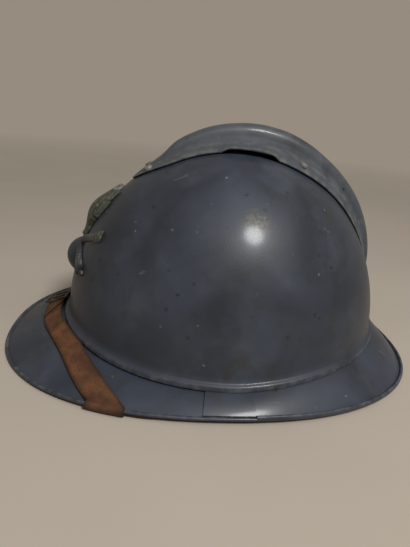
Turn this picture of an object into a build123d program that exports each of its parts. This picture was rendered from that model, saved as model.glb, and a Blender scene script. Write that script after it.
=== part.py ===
from build123d import *
import os
from math import asin, atan2, ceil, cos, degrees, hypot, radians, sin, sqrt

os.makedirs("parts", exist_ok=True)

# A stamped steel helmet of 1915: a drawn skull with a two-piece brim, a riveted crest over
# its crown vent, a front badge, a chin strap on swinging rings and a leather liner.
# Lengths are in millimetres. The visor points along -Y, the wearer's left along +X and the
# crown along +Z. The helmet stands on the brim's front and rear edges.

# Skull
sheet = 0.7
skull_half_length = 111.0
skull_half_width = 90.4
crown_rise = 121.0
equator_height = 20.0
skull_set_back = 7.2
dome_steps = 12
dome_top_latitude = 86.0
overrun = 6.0
vent_slot_length = 62.0
vent_slot_width = 9.0

# Bead round the skull's foot, which drops from the brim's tips to its sides
bead_low_height = 12.2
bead_front_lift = 8.4
bead_rear_lift = 12.5
bead_front_power = 2.5
bead_rear_power = 1.2
bead_reach = 3.0
bead_skirt = 2.6
bead_join = 8.0
bead_lap = 0.8
bead_inset = 0.1
flare_out_share = 0.3
flare_up_share = 0.4
knee_out_share = 0.83
knee_sheet_share = 0.75
flare_sheet_share = 0.6
bead_points = 24
turn_step = 7.5

# Brim
brim_half_length = 146.4
brim_half_width = 107.5
brim_power = 2.28
brim_side_lift = 2.9
collar_height = 2.4
collar_gap = 0.25
lap_gap = 0.2
brim_drop = 0.4
bend_radius = 1.0
brim_crown = 1.0
hem_width = 2.4
visor_hem = 2.2
guard_hem = 3.6
visor_end_turn = 4.0
lap_turn = -7.5
search_steps = 40
search_angle = 0.5

# Crest
crest_gap = 0.4
vent_lift = 2.6
vent_spread = 1.5
crest_crease_x_share = 0.62
crest_crease_rise_share = 0.22
crest_step_x_share = 0.34
crest_step_rise_share = 0.49
crest_upper_shares = ((0.84, 0.5), (0.52, 0.86))
crest_height = 17.2
crest_half_width = 21.2
crest_lining_x_share = 0.6
crest_lining_share = 0.7
crest_turn_step = 4.0
# Each station: degrees from the skull's front foot, then shares of half width, height and vent lift
crest_station_shares = (
    (52.0, 0.13, 0.07, 0),
    (55.5, 0.45, 0.11, 0),
    (60.0, 0.73, 0.15, 0),
    (64.5, 0.89, 0.25, 0),
    (70.0, 0.91, 0.52, 0),
    (76.0, 0.91, 0.68, 0),
    (80.5, 0.91, 0.78, 0),
    (83.0, 0.91, 0.82, 0),
    (85.5, 0.92, 0.86, 1),
    (89.0, 0.93, 0.90, 1),
    (93.0, 0.94, 0.95, 1),
    (97.0, 0.95, 0.98, 1),
    (100.5, 0.96, 0.99, 1),
    (103.0, 0.98, 1.00, 0),
    (106.0, 0.99, 1.00, 0),
    (112.0, 1.00, 0.97, 0),
    (119.0, 0.93, 0.91, 0),
    (127.0, 0.79, 0.86, 0),
    (136.0, 0.67, 0.78, 0),
    (145.0, 0.53, 0.62, 0),
    (153.0, 0.37, 0.43, 0),
    (159.0, 0.22, 0.24, 0),
    (163.0, 0.11, 0.09, 0),
)

# Crest rivets
rivet_head_radius = 2.9
rivet_head_height = 2.0
rivet_shank_radius = 1.4
rivet_fit = 0.05
rivet_tail_height = 0.9
rivet_round_share = 0.8
rivet_front_turn = 58.5
rivet_front_x = 9.0
rivet_rear_turn = 111.6
rivet_rear_x = 15.0

# Badge: a flaming grenade on crossed cannon barrels
badge_gap = 0.3
badge_slab = 20.0
bomb_radius = 12.3
bomb_rise = 8.3
bomb_turn = 19.6
flame_first_turn = 26.5
flame_last_turn = 48.0
flame_width = 14.0
flame_height = 7.9
# Each station of the flame: shares of its length, half width and height
flame_station_shares = (
    (0.0, 0.60, 0.50),
    (0.16, 0.66, 0.54),
    (0.30, 0.80, 0.84),
    (0.42, 0.95, 1.00),
    (0.56, 1.04, 0.94),
    (0.76, 1.04, 0.62),
    (1.0, 1.04, 0.28),
)
flame_outline_shares = (
    (0.0, 0.0),
    (0.34, 0.0),
    (0.40, 0.18),
    (0.78, 0.40),
    (1.0, 0.74),
    (0.72, 0.66),
    (0.62, 0.93),
    (0.34, 0.76),
    (0.0, 1.0),
)
cannon_height = 70.0
cannon_tilt = 21.0
cannon_half_length = 37.0
cannon_half_width = 4.5
cannon_low_rise_share = 0.7
cannon_high_rise_share = 0.86
# Each station of a cannon barrel, breech to muzzle: shares of its half length and half width
cannon_station_shares = (
    (-1.0, 0.22),
    (-0.97, 0.46),
    (-0.93, 0.46),
    (-0.90, 0.30),
    (-0.88, 0.95),
    (-0.80, 1.0),
    (-0.78, 0.88),
    (-0.30, 0.82),
    (0.30, 0.74),
    (0.78, 0.64),
    (0.82, 0.70),
    (0.93, 0.98),
    (0.98, 0.92),
    (1.0, 0.80),
)
prong_turn = 12.0
prong_height = 66.0
prong_width = 5.0
prong_sheet = 0.5
prong_length = 8.0
prong_gap = 0.25
slot_width = 7.0
slot_height = 1.6

# Strap rings and their lugs
ring_turn = -16.0
ring_level = 20.0
ring_wire = 1.1
ring_fit = 0.08
ring_inner_half = 8.2
ring_length = 13.3
ring_out = 2.8
ring_corner = 1.2
lug_width = 12.0
lug_sheet = 0.8
lug_height = 14.0
lug_gap = 0.35

# Chin strap: leather laid over the visor and folded round its edge
strap_leather = 1.5
strap_front_gap = 1.4
strap_gap = 0.35
strap_clear = 0.3
strap_sunk = 0.5
fold_gap = 0.3
fold_first_turn = -33.0
fold_last_turn = -24.0
fold_reach = 6.0
fold_lap_turn = 25.0
fold_tuck = 0.05
strap_sections = 17
strap_last_turn = -20.0
under_sections = 5
under_last_turn = -12.0
loop_fit = 0.45
loop_slack = 2.8
loop_start = 3.0
loop_lap = 2.0
loop_proud = 0.1
loop_pinch = 4.2
loop_length = 8.0
strap_width = 15.0
strap_double_left = 8.0
strap_double_right = 50.0
double_reach_share = 0.8
# Edges of the strap on the visor, as shares of the brim's half width and half length
strap_inner_shares = ((0.0, -0.752), (0.101, -0.745), (0.199, -0.725), (0.353, -0.662))
strap_inner_side_shares = ((0.473, -0.605), (0.641, -0.534), (0.782, -0.466), (0.878, -0.411))
strap_outer_shares = ((0.0, -0.829), (0.121, -0.822), (0.238, -0.798), (0.377, -0.747))
strap_outer_side_shares = ((0.513, -0.691), (0.662, -0.634), (0.780, -0.583))
# Edges of the strap under the brim, from its fold to the ring
under_inner_shares = ((0.823, -0.424), (0.807, -0.328), (0.810, -0.260))
under_outer_shares = ((0.960, -0.301), (0.961, -0.225), (0.935, -0.167), (0.889, -0.150), (0.848, -0.161))

# Strap buckle, which slides along the doubled leather
buckle_turn = -97.0
buckle_middle = 11.0
buckle_span = 15.0
buckle_length = 13.0
buckle_inside = 14.6
buckle_bar = 1.3
buckle_plate = 1.1
buckle_fit = 0.35
buckle_foot = 0.4
buckle_foot_length = 3.0
buckle_stack = 4.3

# Liner
band_steps = 4
felt_inset = 6.2
felt_thickness = 2.0
felt_low = 26.0
felt_high = 57.9
sweat_inset = 9.0
sweat_leather = 1.2
sweat_low = 24.0
sweat_high = 57.5
tongue_leather = 1.1
tongue_width = 72.0
tongue_half_width = 82.8
tongue_half_length = 104.1
tongue_rise = 98.0
tongue_angles = (-90.0, -35.5, 11.6, 61.5, 118.5, 168.4, 215.5)
# Each station of a tongue: degrees up the head's curve, then share of its width at the base
tongue_station_shares = (
    (22.9, 1.0),
    (30.0, 0.94),
    (38.0, 0.83),
    (45.0, 0.72),
    (52.0, 0.58),
    (58.5, 0.43),
    (65.0, 0.27),
)
lace_radius = 0.9
lace_climb = 62.0
lace_gap = 0.5
lace_steps = 28
spacer_sheet = 0.5
spacer_low = 30.0
spacer_high = 56.0
spacer_waves = 8
spacer_pitch = 7.6
spacer_depth = 3.9
spacer_inset = 1.0
# Corners of one wave: shares of its pitch and depth
spacer_wave_shares = ((0.0, 0.0), (0.3, 0.0), (0.5, 1.0), (0.8, 1.0))
tab_width = 8.0
tab_sheet = 0.5
tab_fold_low = 51.9
tab_arm_low = 58.2
tab_foot_low = 60.9
tab_foot_high = 72.9
tab_inset = 8.35
tab_gap = 0.25
tab_turns = (-60.0, 60.0, 120.0, 240.0)


def skull_scale(level):
    """Share of the skull's plan that is left at a height above the table."""
    rise = max(level - equator_height, 0.0) / crown_rise
    return sqrt(max(1 - rise * rise, 0.0))


def bead_height(y):
    """Height of the bead's lower edge at a distance along the helmet."""
    share = (y - skull_set_back) / (skull_half_length + bead_reach)
    if share < 0:
        return bead_low_height + bead_front_lift * (-share) ** bead_front_power
    return bead_low_height + bead_rear_lift * share**bead_rear_power


def base_point(turn):
    """Foot of the skull's wall where its outward normal points turn degrees from +X."""
    along, across = sin(radians(turn)), cos(radians(turn))
    size = hypot(skull_half_length * along, skull_half_width * across)
    x = skull_half_width**2 * across / size
    y = skull_half_length**2 * along / size + skull_set_back
    return x, y


def brim_reach(turn):
    """Distance from the skull's wall to the brim's edge along the wall's normal."""
    x, y = base_point(turn)
    near, far = 0.0, brim_half_length
    for _ in range(search_steps):
        middle = (near + far) / 2
        across = abs(x + middle * cos(radians(turn))) / brim_half_width
        along = abs(y + middle * sin(radians(turn))) / brim_half_length
        if across**brim_power + along**brim_power < 1:
            near = middle
        else:
            far = middle
    return near


def hem_low(turn):
    """Height of the brim's lower edge above the table."""
    along = (base_point(turn)[1] + brim_reach(turn) * sin(radians(turn))) / brim_half_length
    return brim_side_lift * max(1 - along * along, 0.0)


def radial_plane(turn, height):
    """Upright plane square to the skull's wall, with its X pointing outwards."""
    x, y = base_point(turn)
    outwards = Vector(cos(radians(turn)), sin(radians(turn)), 0)
    return Plane(origin=(x, y, height), x_dir=outwards, z_dir=outwards.cross(Vector(0, 0, 1)))


def wall_lean(turn, level):
    """How far the skull's wall has leant inwards at a height above the table."""
    x, y = base_point(turn)
    return (1 - skull_scale(level)) * hypot(x, y - skull_set_back)


def dome(inset):
    """Closed dome whose surface lies inset inside the skull's outer face."""
    with BuildPart() as solid:
        for step in range(dome_steps + 1):
            latitude = radians(dome_top_latitude * step / dome_steps)
            level = equator_height + (crown_rise - inset) * sin(latitude)
            width = (skull_half_width - inset) * cos(latitude)
            length = (skull_half_length - inset) * cos(latitude)
            with BuildSketch(Plane(origin=(0, skull_set_back, level))):
                Ellipse(width, length)
        loft()
    return solid.part


def skirt_section(turn):
    """Section through the flare and bead at the skull's foot."""
    foot = bead_height(base_point(turn)[1])
    lean = wall_lean(turn, foot + bead_join)
    outer, inner = -lean - bead_inset, -lean - sheet + bead_inset
    knee = bead_skirt + sheet
    rise_x, rise_y = outer + bead_reach * flare_out_share, knee + bead_reach * flare_up_share
    with BuildSketch(radial_plane(turn, foot)) as section:
        with BuildLine():
            flare = Spline(
                (outer, bead_join),
                (rise_x, rise_y),
                (bead_reach * knee_out_share, knee),
                (bead_reach, bead_skirt),
                tangents=((0, -1), (0, -1)),
            )
            Polyline(flare @ 1, (bead_reach, 0), (bead_reach - sheet, 0), (bead_reach - sheet, bead_skirt))
            lining = Spline(
                (bead_reach - sheet, bead_skirt),
                (bead_reach * knee_out_share - sheet * knee_sheet_share, knee - sheet * knee_sheet_share),
                (rise_x - sheet * knee_sheet_share, rise_y - sheet * flare_sheet_share),
                (inner, bead_join - bead_lap),
                tangents=((0, 1), (0, 1)),
            )
            Polyline(lining @ 1, (inner, bead_join + bead_lap), (outer, bead_join + bead_lap), flare @ 0)
        make_face()
    return section.sketch


def stations(first, last):
    """Turns of the sections between two places, with the brim's seams among them."""
    marks = [turn_step * step for step in range(ceil(first / turn_step), ceil(last / turn_step))]
    seams = [-180 - visor_end_turn, visor_end_turn, 180 - visor_end_turn]
    return sorted({turn for turn in [first, last, *marks, *seams] if first <= turn <= last})


def skirt_half(first_turn):
    """Half of the flared foot, from one side of the helmet round to the other."""
    with BuildPart() as solid:
        for turn in stations(first_turn, first_turn + 180):
            add(skirt_section(turn))
        loft()
    return solid.part


def crest_line(turn):
    """Plane on the skull's centre line, with X to the wearer's right and Y off the metal."""
    y = skull_set_back - skull_half_length * cos(radians(turn))
    z = equator_height + crown_rise * sin(radians(turn))
    normal = Vector(0, -cos(radians(turn)) / skull_half_length, sin(radians(turn)) / crown_rise)
    along = Vector(-1, 0, 0).cross(normal.normalized())
    return Plane(origin=(0, y, z), x_dir=(-1, 0, 0), z_dir=along)


def skull_fall(x):
    """How far the skull's surface falls away beside its centre line."""
    return skull_half_width * (1 - sqrt(1 - (x / skull_half_width) ** 2))


def crest_shape(turn):
    """Half width, height and vent lift of the crest, eased between the listed stations."""
    rows = crest_station_shares
    here = max(row for row in range(len(rows) - 1) if rows[row][0] <= turn)
    near = [rows[min(max(here + step, 0), len(rows) - 1)] for step in (-1, 0, 1, 2)]
    gap = near[2][0] - near[1][0]
    part = (turn - near[1][0]) / gap
    eased = []
    for column in (1, 2):
        rise = (near[2][column] - near[0][column]) / (near[2][0] - near[0][0]) * gap
        fall = (near[3][column] - near[1][column]) / (near[3][0] - near[1][0]) * gap
        start, end = near[1][column], near[2][column]
        square, cube = part**2, part**3
        value = start * (2 * cube - 3 * square + 1) + end * (3 * square - 2 * cube)
        eased.append(value + rise * (cube - 2 * square + part) + fall * (cube - square))
    lift = near[1][3] + (near[2][3] - near[1][3]) * part
    return crest_half_width * eased[0], crest_height * eased[1], lift


def crest_turns():
    """Every station along the crest, with more of them where the listed ones lie far apart."""
    turns = [crest_station_shares[-1][0]]
    for low, high in zip(crest_station_shares, crest_station_shares[1:]):
        count = ceil((high[0] - low[0]) / crest_turn_step)
        turns += [low[0] + (high[0] - low[0]) * step / count for step in range(count)]
    return sorted(turns)


def crest_section(turn, half_width, height, lift):
    """Section across the crest: flange, shoulder and rounded comb, all one sheet."""
    edge_x = half_width + vent_spread * lift
    edge = crest_gap + sheet + vent_lift * lift
    crease_x = half_width * crest_crease_x_share
    crease = crest_gap + sheet + (height - crest_gap - sheet) * crest_crease_rise_share
    step_x = half_width * crest_step_x_share
    step = crest_gap + sheet + (height - crest_gap - sheet) * crest_step_rise_share
    outer = [(edge_x, edge - skull_fall(edge_x)), (crease_x, crease - skull_fall(crease_x)), (step_x, step)]
    shifts = (0, min(sheet, step_x) / 2, min(sheet, step_x) / 2)
    inner = [(x - shift, y - sheet) for (x, y), shift in zip(outer, shifts)]
    comb = [(step_x * x, step + (height - step) * y) for x, y in crest_upper_shares]
    inset_x, inset_y = sheet * crest_lining_x_share, sheet * crest_lining_share
    lining = [(x - min(inset_x, x / 2), y - inset_y) for x, y in comb]
    with BuildSketch(crest_line(turn)) as section:
        with BuildLine():
            Polyline(*outer)
            Spline(outer[2], *comb, (0, height), *mirrored(comb), mirrored(outer)[0])
            Polyline(*mirrored(outer))
            Line(mirrored(outer)[2], mirrored(inner)[2])
            Polyline(*reversed(mirrored(inner)))
            roof = (0, height - sheet)
            Spline(mirrored(inner)[0], *reversed(mirrored(lining)), roof, *reversed(lining), inner[2])
            Polyline(*reversed(inner))
            Line(inner[0], outer[0])
        make_face()
    return section.sketch


def mirrored(points):
    """The same points on the other side of the centre line, in the opposite order."""
    return [(-x, y) for x, y in reversed(points)]


def brim_section(turn, collar, drop, hem, tab=False):
    """Section through a brim piece: collar, bend, sloping sheet and hem."""
    foot = bead_height(base_point(turn)[1])
    reach = brim_reach(turn)
    middle = hem_low(turn) - foot + hem / 2
    start = (collar + bend_radius, -drop)
    lower = bend_radius + sheet
    slant = 1 - cos(radians(45))
    if tab:
        middle += sheet / 2
    end = (reach - hem_width, middle + sheet / 2)
    under = (end[0], end[1] - sheet)
    crown = Vector(0, brim_crown)
    with BuildSketch(radial_plane(turn, foot)) as section:
        with BuildLine():
            Polyline((collar - sheet, collar_height), (collar, collar_height), (collar, bend_radius - drop))
            ThreePointArc(
                (collar, bend_radius - drop),
                (collar + bend_radius * slant, bend_radius * slant - drop),
                start,
            )
            ThreePointArc(start, (Vector(*start) + Vector(*end)) / 2 + crown, end)
            if tab:
                Line(end, under)
            else:
                ThreePointArc(end, (reach - hem_width / 2, middle + hem / 2), (reach, middle))
                ThreePointArc((reach, middle), (reach - hem_width / 2, middle - hem / 2), under)
            base = (start[0], start[1] - sheet)
            ThreePointArc(under, (Vector(*base) + Vector(*under)) / 2 + crown, base)
            ThreePointArc(
                base,
                (collar - sheet + lower * slant, -drop - sheet + lower * slant),
                (collar - sheet, -drop - sheet + lower),
            )
            Line((collar - sheet, -drop - sheet + lower), (collar - sheet, collar_height))
        make_face()
    return section.sketch


def brim_piece(first_turn, last_turn, collar, drop, hem, tab=False):
    """Brim sheet between two places round the helmet."""
    with BuildPart() as solid:
        for turn in stations(first_turn, last_turn):
            add(brim_section(turn, collar, drop, hem, tab))
        loft(ruled=True)
    return solid.part


def rivet_plane(turn, x):
    """Plane on the skull's outer face at a rivet, with its Z off the metal."""
    fall = sqrt(1 - (x / skull_half_width) ** 2)
    y = skull_set_back - skull_half_length * fall * cos(radians(turn))
    z = equator_height + crown_rise * fall * sin(radians(turn))
    normal = Vector(
        x / skull_half_width**2,
        (y - skull_set_back) / skull_half_length**2,
        (z - equator_height) / crown_rise**2,
    )
    along = (0, sin(radians(turn)), cos(radians(turn)))
    return Plane(origin=(x, y, z), x_dir=along, z_dir=normal.normalized())


def rivet_places():
    """The crest's four rivets: turn along the crest and distance from its centre line."""
    pairs = ((rivet_front_turn, rivet_front_x), (rivet_rear_turn, rivet_rear_x))
    return [(turn, side * x) for turn, x in pairs for side in (1, -1)]


def crest_rise(turn, x):
    """Height of the crest's flange over the skull at a distance from its centre line."""
    half_width, height, lift = crest_shape(turn)
    edge = crest_gap + sheet
    crease_x = half_width * crest_crease_x_share
    crease = edge + (height - edge) * crest_crease_rise_share
    if abs(x) < crease_x:
        return crease
    return crease + (edge - crease) * (abs(x) - crease_x) / (half_width - crease_x)


def rivet_blank(turn, x):
    """One rivet before its head and shank are trimmed to the sheets they hold."""
    place = rivet_plane(turn, x)
    seat = crest_rise(turn, x)
    with BuildPart() as solid:
        with BuildSketch(place.offset(-sheet - rivet_fit)):
            Circle(rivet_head_radius)
        extrude(amount=-rivet_tail_height)
        with BuildSketch(place.offset(-sheet - rivet_fit)):
            Circle(rivet_shank_radius)
        extrude(amount=seat + sheet + rivet_head_height / 2)
        with BuildSketch(place.offset(seat - sheet / 2)):
            Circle(rivet_head_radius)
        head = extrude(amount=rivet_head_height + sheet / 2)
        top = head.faces().sort_by(Axis(place.origin, place.z_dir))[-1]
        fillet(top.edges(), rivet_head_height * rivet_round_share)
    return solid.part


def band(inset, low, high):
    """Closed block inside the skull that keeps a level inset from its outer face."""
    with BuildPart() as solid:
        for step in range(band_steps + 1):
            level = low + (high - low) * step / band_steps
            width = skull_half_width * skull_scale(level) - inset
            length = skull_half_length * skull_scale(level) - inset
            with BuildSketch(Plane(origin=(0, skull_set_back, level))):
                Ellipse(width, length)
        loft(ruled=True)
    return solid.part


def oval_x(turn, half_width, half_length):
    """Where the radial line at a turn meets an oval round the skull's axis."""
    x, y = base_point(turn)
    y -= skull_set_back
    across, along = cos(radians(turn)), sin(radians(turn))
    square = (across / half_width) ** 2 + (along / half_length) ** 2
    linear = x * across / half_width**2 + y * along / half_length**2
    rest = (x / half_width) ** 2 + (y / half_length) ** 2 - 1
    return (sqrt(linear**2 - square * rest) - linear) / square


def wall_x(turn, level, inset):
    """Place of the skull's wall, less an inset, in the radial plane at a height."""
    rise = max(level - equator_height, 0.0) / (crown_rise - inset)
    left = sqrt(1 - rise**2)
    return oval_x(turn, (skull_half_width - inset) * left, (skull_half_length - inset) * left)


def band_x(turn, level, inset):
    """Place of the liner's oval in the radial plane at a height."""
    scale = skull_scale(level)
    return oval_x(turn, skull_half_width * scale - inset, skull_half_length * scale - inset)


def strip_outline(points, thickness):
    """Closed outline of a bent strip whose one face follows the points."""
    path = [Vector(*point) for point in points]
    steps = [(b - a).normalized() for a, b in zip(path, path[1:])]
    sides = [Vector(-step.Y, step.X) for step in steps]
    far = [path[0] + sides[0] * thickness]
    for here, before, after in zip(path[1:], sides, sides[1:]):
        middle = (before + after).normalized()
        far.append(here + middle * (thickness / middle.dot(after)))
    far.append(path[-1] + sides[-1] * thickness)
    return path + far[::-1] + path[:1]


def front_plane(x, z, tilt):
    """Plane on the front of the skull, across a line at a tilt, with its Y off the metal."""
    y = -skull_half_length * sqrt(1 - (x / skull_half_width) ** 2 - ((z - equator_height) / crown_rise) ** 2)
    normal = Vector(x / skull_half_width**2, y / skull_half_length**2, (z - equator_height) / crown_rise**2)
    normal = normal.normalized()
    along = Vector(cos(radians(tilt)), 0, sin(radians(tilt)))
    along = (along - normal * along.dot(normal)).normalized()
    return Plane(origin=(x, y + skull_set_back, z), x_dir=normal.cross(along), z_dir=along)


def brim_frame(turn):
    """Start and end of the visor sheet's upper face in the radial plane, and the hem's middle."""
    foot = bead_height(base_point(turn)[1])
    middle = hem_low(turn) - foot + visor_hem / 2
    start = (visor_collar + bend_radius, -brim_drop - sheet - lap_gap)
    return start, (brim_reach(turn) - hem_width, middle + sheet / 2), middle


def visor_top(turn, u):
    """Height of the visor's upper face over the bead's foot, at a distance from the wall."""
    start, end, middle = brim_frame(turn)
    share = (u - start[0]) / (end[0] - start[0])
    return start[1] + (end[1] - start[1]) * share + 4 * brim_crown * share * (1 - share)


def strap_rise(turn):
    """Gap under the strap: wide at the front for the buckle's foot, narrow at the sides."""
    share = (abs(turn + 90) - buckle_span) / buckle_span
    return strap_front_gap + (strap_gap - strap_front_gap) * min(max(share, 0.0), 1.0)


def strap_section(turn):
    """Radial section of the leather laid over the visor, down to the middle of its hem."""
    foot = bead_height(base_point(turn)[1])
    start, end, middle = brim_frame(turn)
    inner_u = bead_reach + strap_clear
    centre_u = end[0] + hem_width / 2
    ring = visor_hem / 2 + fold_gap
    half_u = (inner_u + centre_u) / 2
    turned = 1 - cos(radians(45))
    low, high = strap_rise(turn), strap_rise(turn) + strap_leather
    with BuildSketch(radial_plane(turn, foot)) as section:
        with BuildLine():
            first, second = ring, ring + strap_leather
            lower = ThreePointArc(
                (inner_u, visor_top(turn, inner_u) + low),
                (half_u, visor_top(turn, half_u) + low),
                (centre_u, middle + first),
            )
            bend = ThreePointArc(
                lower @ 1,
                (centre_u + first * sin(radians(45)), middle + first * cos(radians(45))),
                (centre_u + first, middle),
            )
            Line(bend @ 1, (centre_u + second, middle))
            ThreePointArc(
                (centre_u + second, middle),
                (centre_u + second * sin(radians(45)), middle + second * cos(radians(45))),
                (centre_u, middle + second),
            )
            ThreePointArc(
                (centre_u, middle + second),
                (half_u, visor_top(turn, half_u) + high),
                (inner_u, visor_top(turn, inner_u) + high),
            )
            Line((inner_u, visor_top(turn, inner_u) + high), lower @ 0)
        make_face()
    return section.sketch


def cannon(side, rise_share):
    """One cannon barrel of the badge, raised off the skull by a share of its half width."""
    with BuildPart() as solid:
        for along_share, width_share in cannon_station_shares:
            reach = cannon_half_length * along_share
            x = side * reach * cos(radians(cannon_tilt))
            z = cannon_height + reach * sin(radians(cannon_tilt))
            half = cannon_half_width * width_share
            with BuildSketch(front_plane(x, z, side * cannon_tilt)):
                with BuildLine():
                    Line((-half, badge_gap), (half, badge_gap))
                    ThreePointArc((half, badge_gap), (0, badge_gap + half * rise_share), (-half, badge_gap))
                make_face()
        loft(ruled=True)
    return solid.part


def flame():
    """The badge's flame: a swelling body cut to an outline of pointed tongues."""
    with BuildPart() as solid:
        for along_share, width_share, height_share in flame_station_shares:
            turn = flame_first_turn + (flame_last_turn - flame_first_turn) * along_share
            half = flame_width * width_share
            low, high = badge_gap - skull_fall(half), flame_height * height_share
            with BuildSketch(crest_line(turn)):
                with BuildLine():
                    ThreePointArc((-half, low), (0, badge_gap), (half, low))
                    ThreePointArc((half, low), (0, high), (-half, low))
                make_face()
        loft()
        first, last = crest_line(flame_first_turn).origin, crest_line(flame_last_turn).origin
        top = last - first
        facing = Vector(1, 0, 0).cross(top).normalized()
        with BuildSketch(Plane(origin=(first + last) / 2, x_dir=(1, 0, 0), z_dir=facing)):
            points = [(flame_width * x, top.length * y - top.length / 2) for x, y in flame_outline_shares]
            Polygon(*points, *mirrored(points)[1:-1], align=None)
        extrude(amount=badge_slab, both=True, mode=Mode.INTERSECT)
    return solid.part


def brim_point(turn, u):
    """Point in plan at a distance from the skull's wall."""
    x, y = base_point(turn)
    return x + u * cos(radians(turn)), y + u * sin(radians(turn))


def brim_shares(shares):
    """Points in plan from shares of the brim's half width and half length."""
    return [(brim_half_width * x, brim_half_length * y) for x, y in shares]


def fold_middle(turn):
    """Distance from the wall to the middle of the visor's hem."""
    return brim_reach(turn) - hem_width / 2


def strap_prism():
    """Upright block with the strap's outline on the visor, from fold to fold."""
    inner = brim_shares(strap_inner_shares + strap_inner_side_shares)
    outer = brim_shares(strap_outer_shares + strap_outer_side_shares)
    inner.append(brim_point(fold_last_turn, fold_middle(fold_last_turn)))
    outer.append(brim_point(fold_first_turn, fold_middle(fold_first_turn)))
    last = brim_point(fold_last_turn, fold_middle(fold_last_turn) + fold_reach)
    first = brim_point(fold_first_turn, fold_middle(fold_first_turn) + fold_reach)
    with BuildPart() as solid:
        with BuildSketch():
            with BuildLine():
                Spline(*mirrored(inner)[:-1], *inner)
                Polyline(inner[-1], last, first, outer[-1])
                Spline(*mirrored(outer)[:-1], *outer)
                Polyline(mirrored(inner)[0], mirrored([last])[0], mirrored([first])[0], mirrored(outer)[0])
            make_face()
        extrude(amount=skull_half_width)
    return solid.part


def under_prism():
    """Upright block with the strap's outline under the brim, from its fold to the ring."""
    rim_first = brim_point(fold_first_turn, fold_middle(fold_first_turn))
    rim_last = brim_point(fold_last_turn, fold_middle(fold_last_turn))
    last = brim_point(fold_last_turn, fold_middle(fold_last_turn) + fold_reach)
    first = brim_point(fold_first_turn, fold_middle(fold_first_turn) + fold_reach)
    with BuildPart() as solid:
        with BuildSketch():
            with BuildLine():
                inner = Spline(rim_first, *brim_shares(under_inner_shares))
                outer = Spline(rim_last, *brim_shares(under_outer_shares))
                Polyline(rim_first, first, last, rim_last)
                Line(inner @ 1, outer @ 1)
            make_face()
        extrude(amount=skull_half_width)
    return solid.part


def loop_level():
    """Height of the middle of the ring's lower bar."""
    return ring_level - sqrt(ring_length**2 - ring_out**2)


def under_top(turn, u):
    """Height above the table of the upper face of the leather under the brim."""
    foot = bead_height(base_point(turn)[1])
    middle = brim_frame(turn)[2]
    outer = foot + middle - visor_hem / 2 - fold_gap
    inner = loop_level() - ring_wire - loop_fit
    return inner + (outer - inner) * (u - loop_start) / (fold_middle(turn) - loop_start)


def under_section(turn):
    """Radial section of the leather from inside the fold inwards under the brim."""
    middle = bead_height(base_point(turn)[1]) + brim_frame(turn)[2]
    centre_u = fold_middle(turn)
    first = visor_hem / 2 + fold_gap + fold_tuck
    second = first + strap_leather - 2 * fold_tuck
    turns = (fold_lap_turn, (fold_lap_turn - 90) / 2, -90)
    outer = [(centre_u + second * cos(radians(a)), middle + second * sin(radians(a))) for a in turns]
    inner = [(centre_u + first * cos(radians(a)), middle + first * sin(radians(a))) for a in reversed(turns)]
    low = under_top(turn, loop_start) - strap_leather
    with BuildSketch(radial_plane(turn, 0)) as section:
        with BuildLine():
            ThreePointArc(*outer)
            Polyline(outer[2], (loop_start, low), (loop_start, low + strap_leather), inner[0])
            ThreePointArc(*inner)
            Line(inner[2], outer[0])
        make_face()
    return section.sketch


def strap_loop():
    """The strap's end, turned round the ring's lower bar and sewn back on itself."""
    level = loop_level()
    first = ring_wire + loop_fit
    second = first + strap_leather
    near = loop_start + loop_lap
    with BuildPart() as solid:
        with BuildSketch(radial_plane(ring_turn, 0)):
            with BuildLine():
                Polyline(
                    (-loop_slack, level - second),
                    (loop_start, level - second - loop_proud),
                    (near, under_top(ring_turn, near) - strap_leather - loop_proud),
                    (near, under_top(ring_turn, near) - loop_proud),
                    (loop_length, under_top(ring_turn, loop_length) - loop_proud),
                    (loop_length, under_top(ring_turn, loop_length) + strap_leather),
                    (0, level + second),
                    (-loop_slack, level + second),
                )
                ThreePointArc(
                    (-loop_slack, level + second),
                    (-loop_slack - second, level),
                    (-loop_slack, level - second),
                )
            make_face()
            with BuildLine():
                Polyline(
                    (-loop_slack, level + first),
                    (0, level + first),
                    (loop_pinch, under_top(ring_turn, loop_pinch) + loop_proud),
                    (loop_start, level - first + loop_proud),
                    (-loop_slack, level - first),
                )
                ThreePointArc(
                    (-loop_slack, level - first),
                    (-loop_slack - first, level),
                    (-loop_slack, level + first),
                )
            make_face(mode=Mode.SUBTRACT)
        extrude(amount=strap_width / 2, both=True)
    return solid.part


def strap_over(layer, reach_share):
    """Leather over the visor, a number of layers up and out to a share of the way to the hem."""
    with BuildPart() as solid:
        for step in range(strap_sections):
            turn = -180 - strap_last_turn + (180 + 2 * strap_last_turn) * step / (strap_sections - 1)
            foot = bead_height(base_point(turn)[1])
            low = strap_rise(turn) + strap_leather * layer - strap_sunk
            near = bead_reach + strap_clear + strap_sunk
            far = near + (fold_middle(turn) - near) * reach_share
            half = (near + far) / 2
            with BuildSketch(radial_plane(turn, foot)):
                with BuildLine():
                    lower = [(u, visor_top(turn, u) + low) for u in (near, half, far)]
                    upper = [(x, y + strap_leather + strap_sunk) for x, y in reversed(lower)]
                    ThreePointArc(*lower)
                    Line(lower[2], upper[0])
                    ThreePointArc(*upper)
                    Line(upper[2], lower[0])
                make_face()
        loft(ruled=True)
    return solid.part


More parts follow.
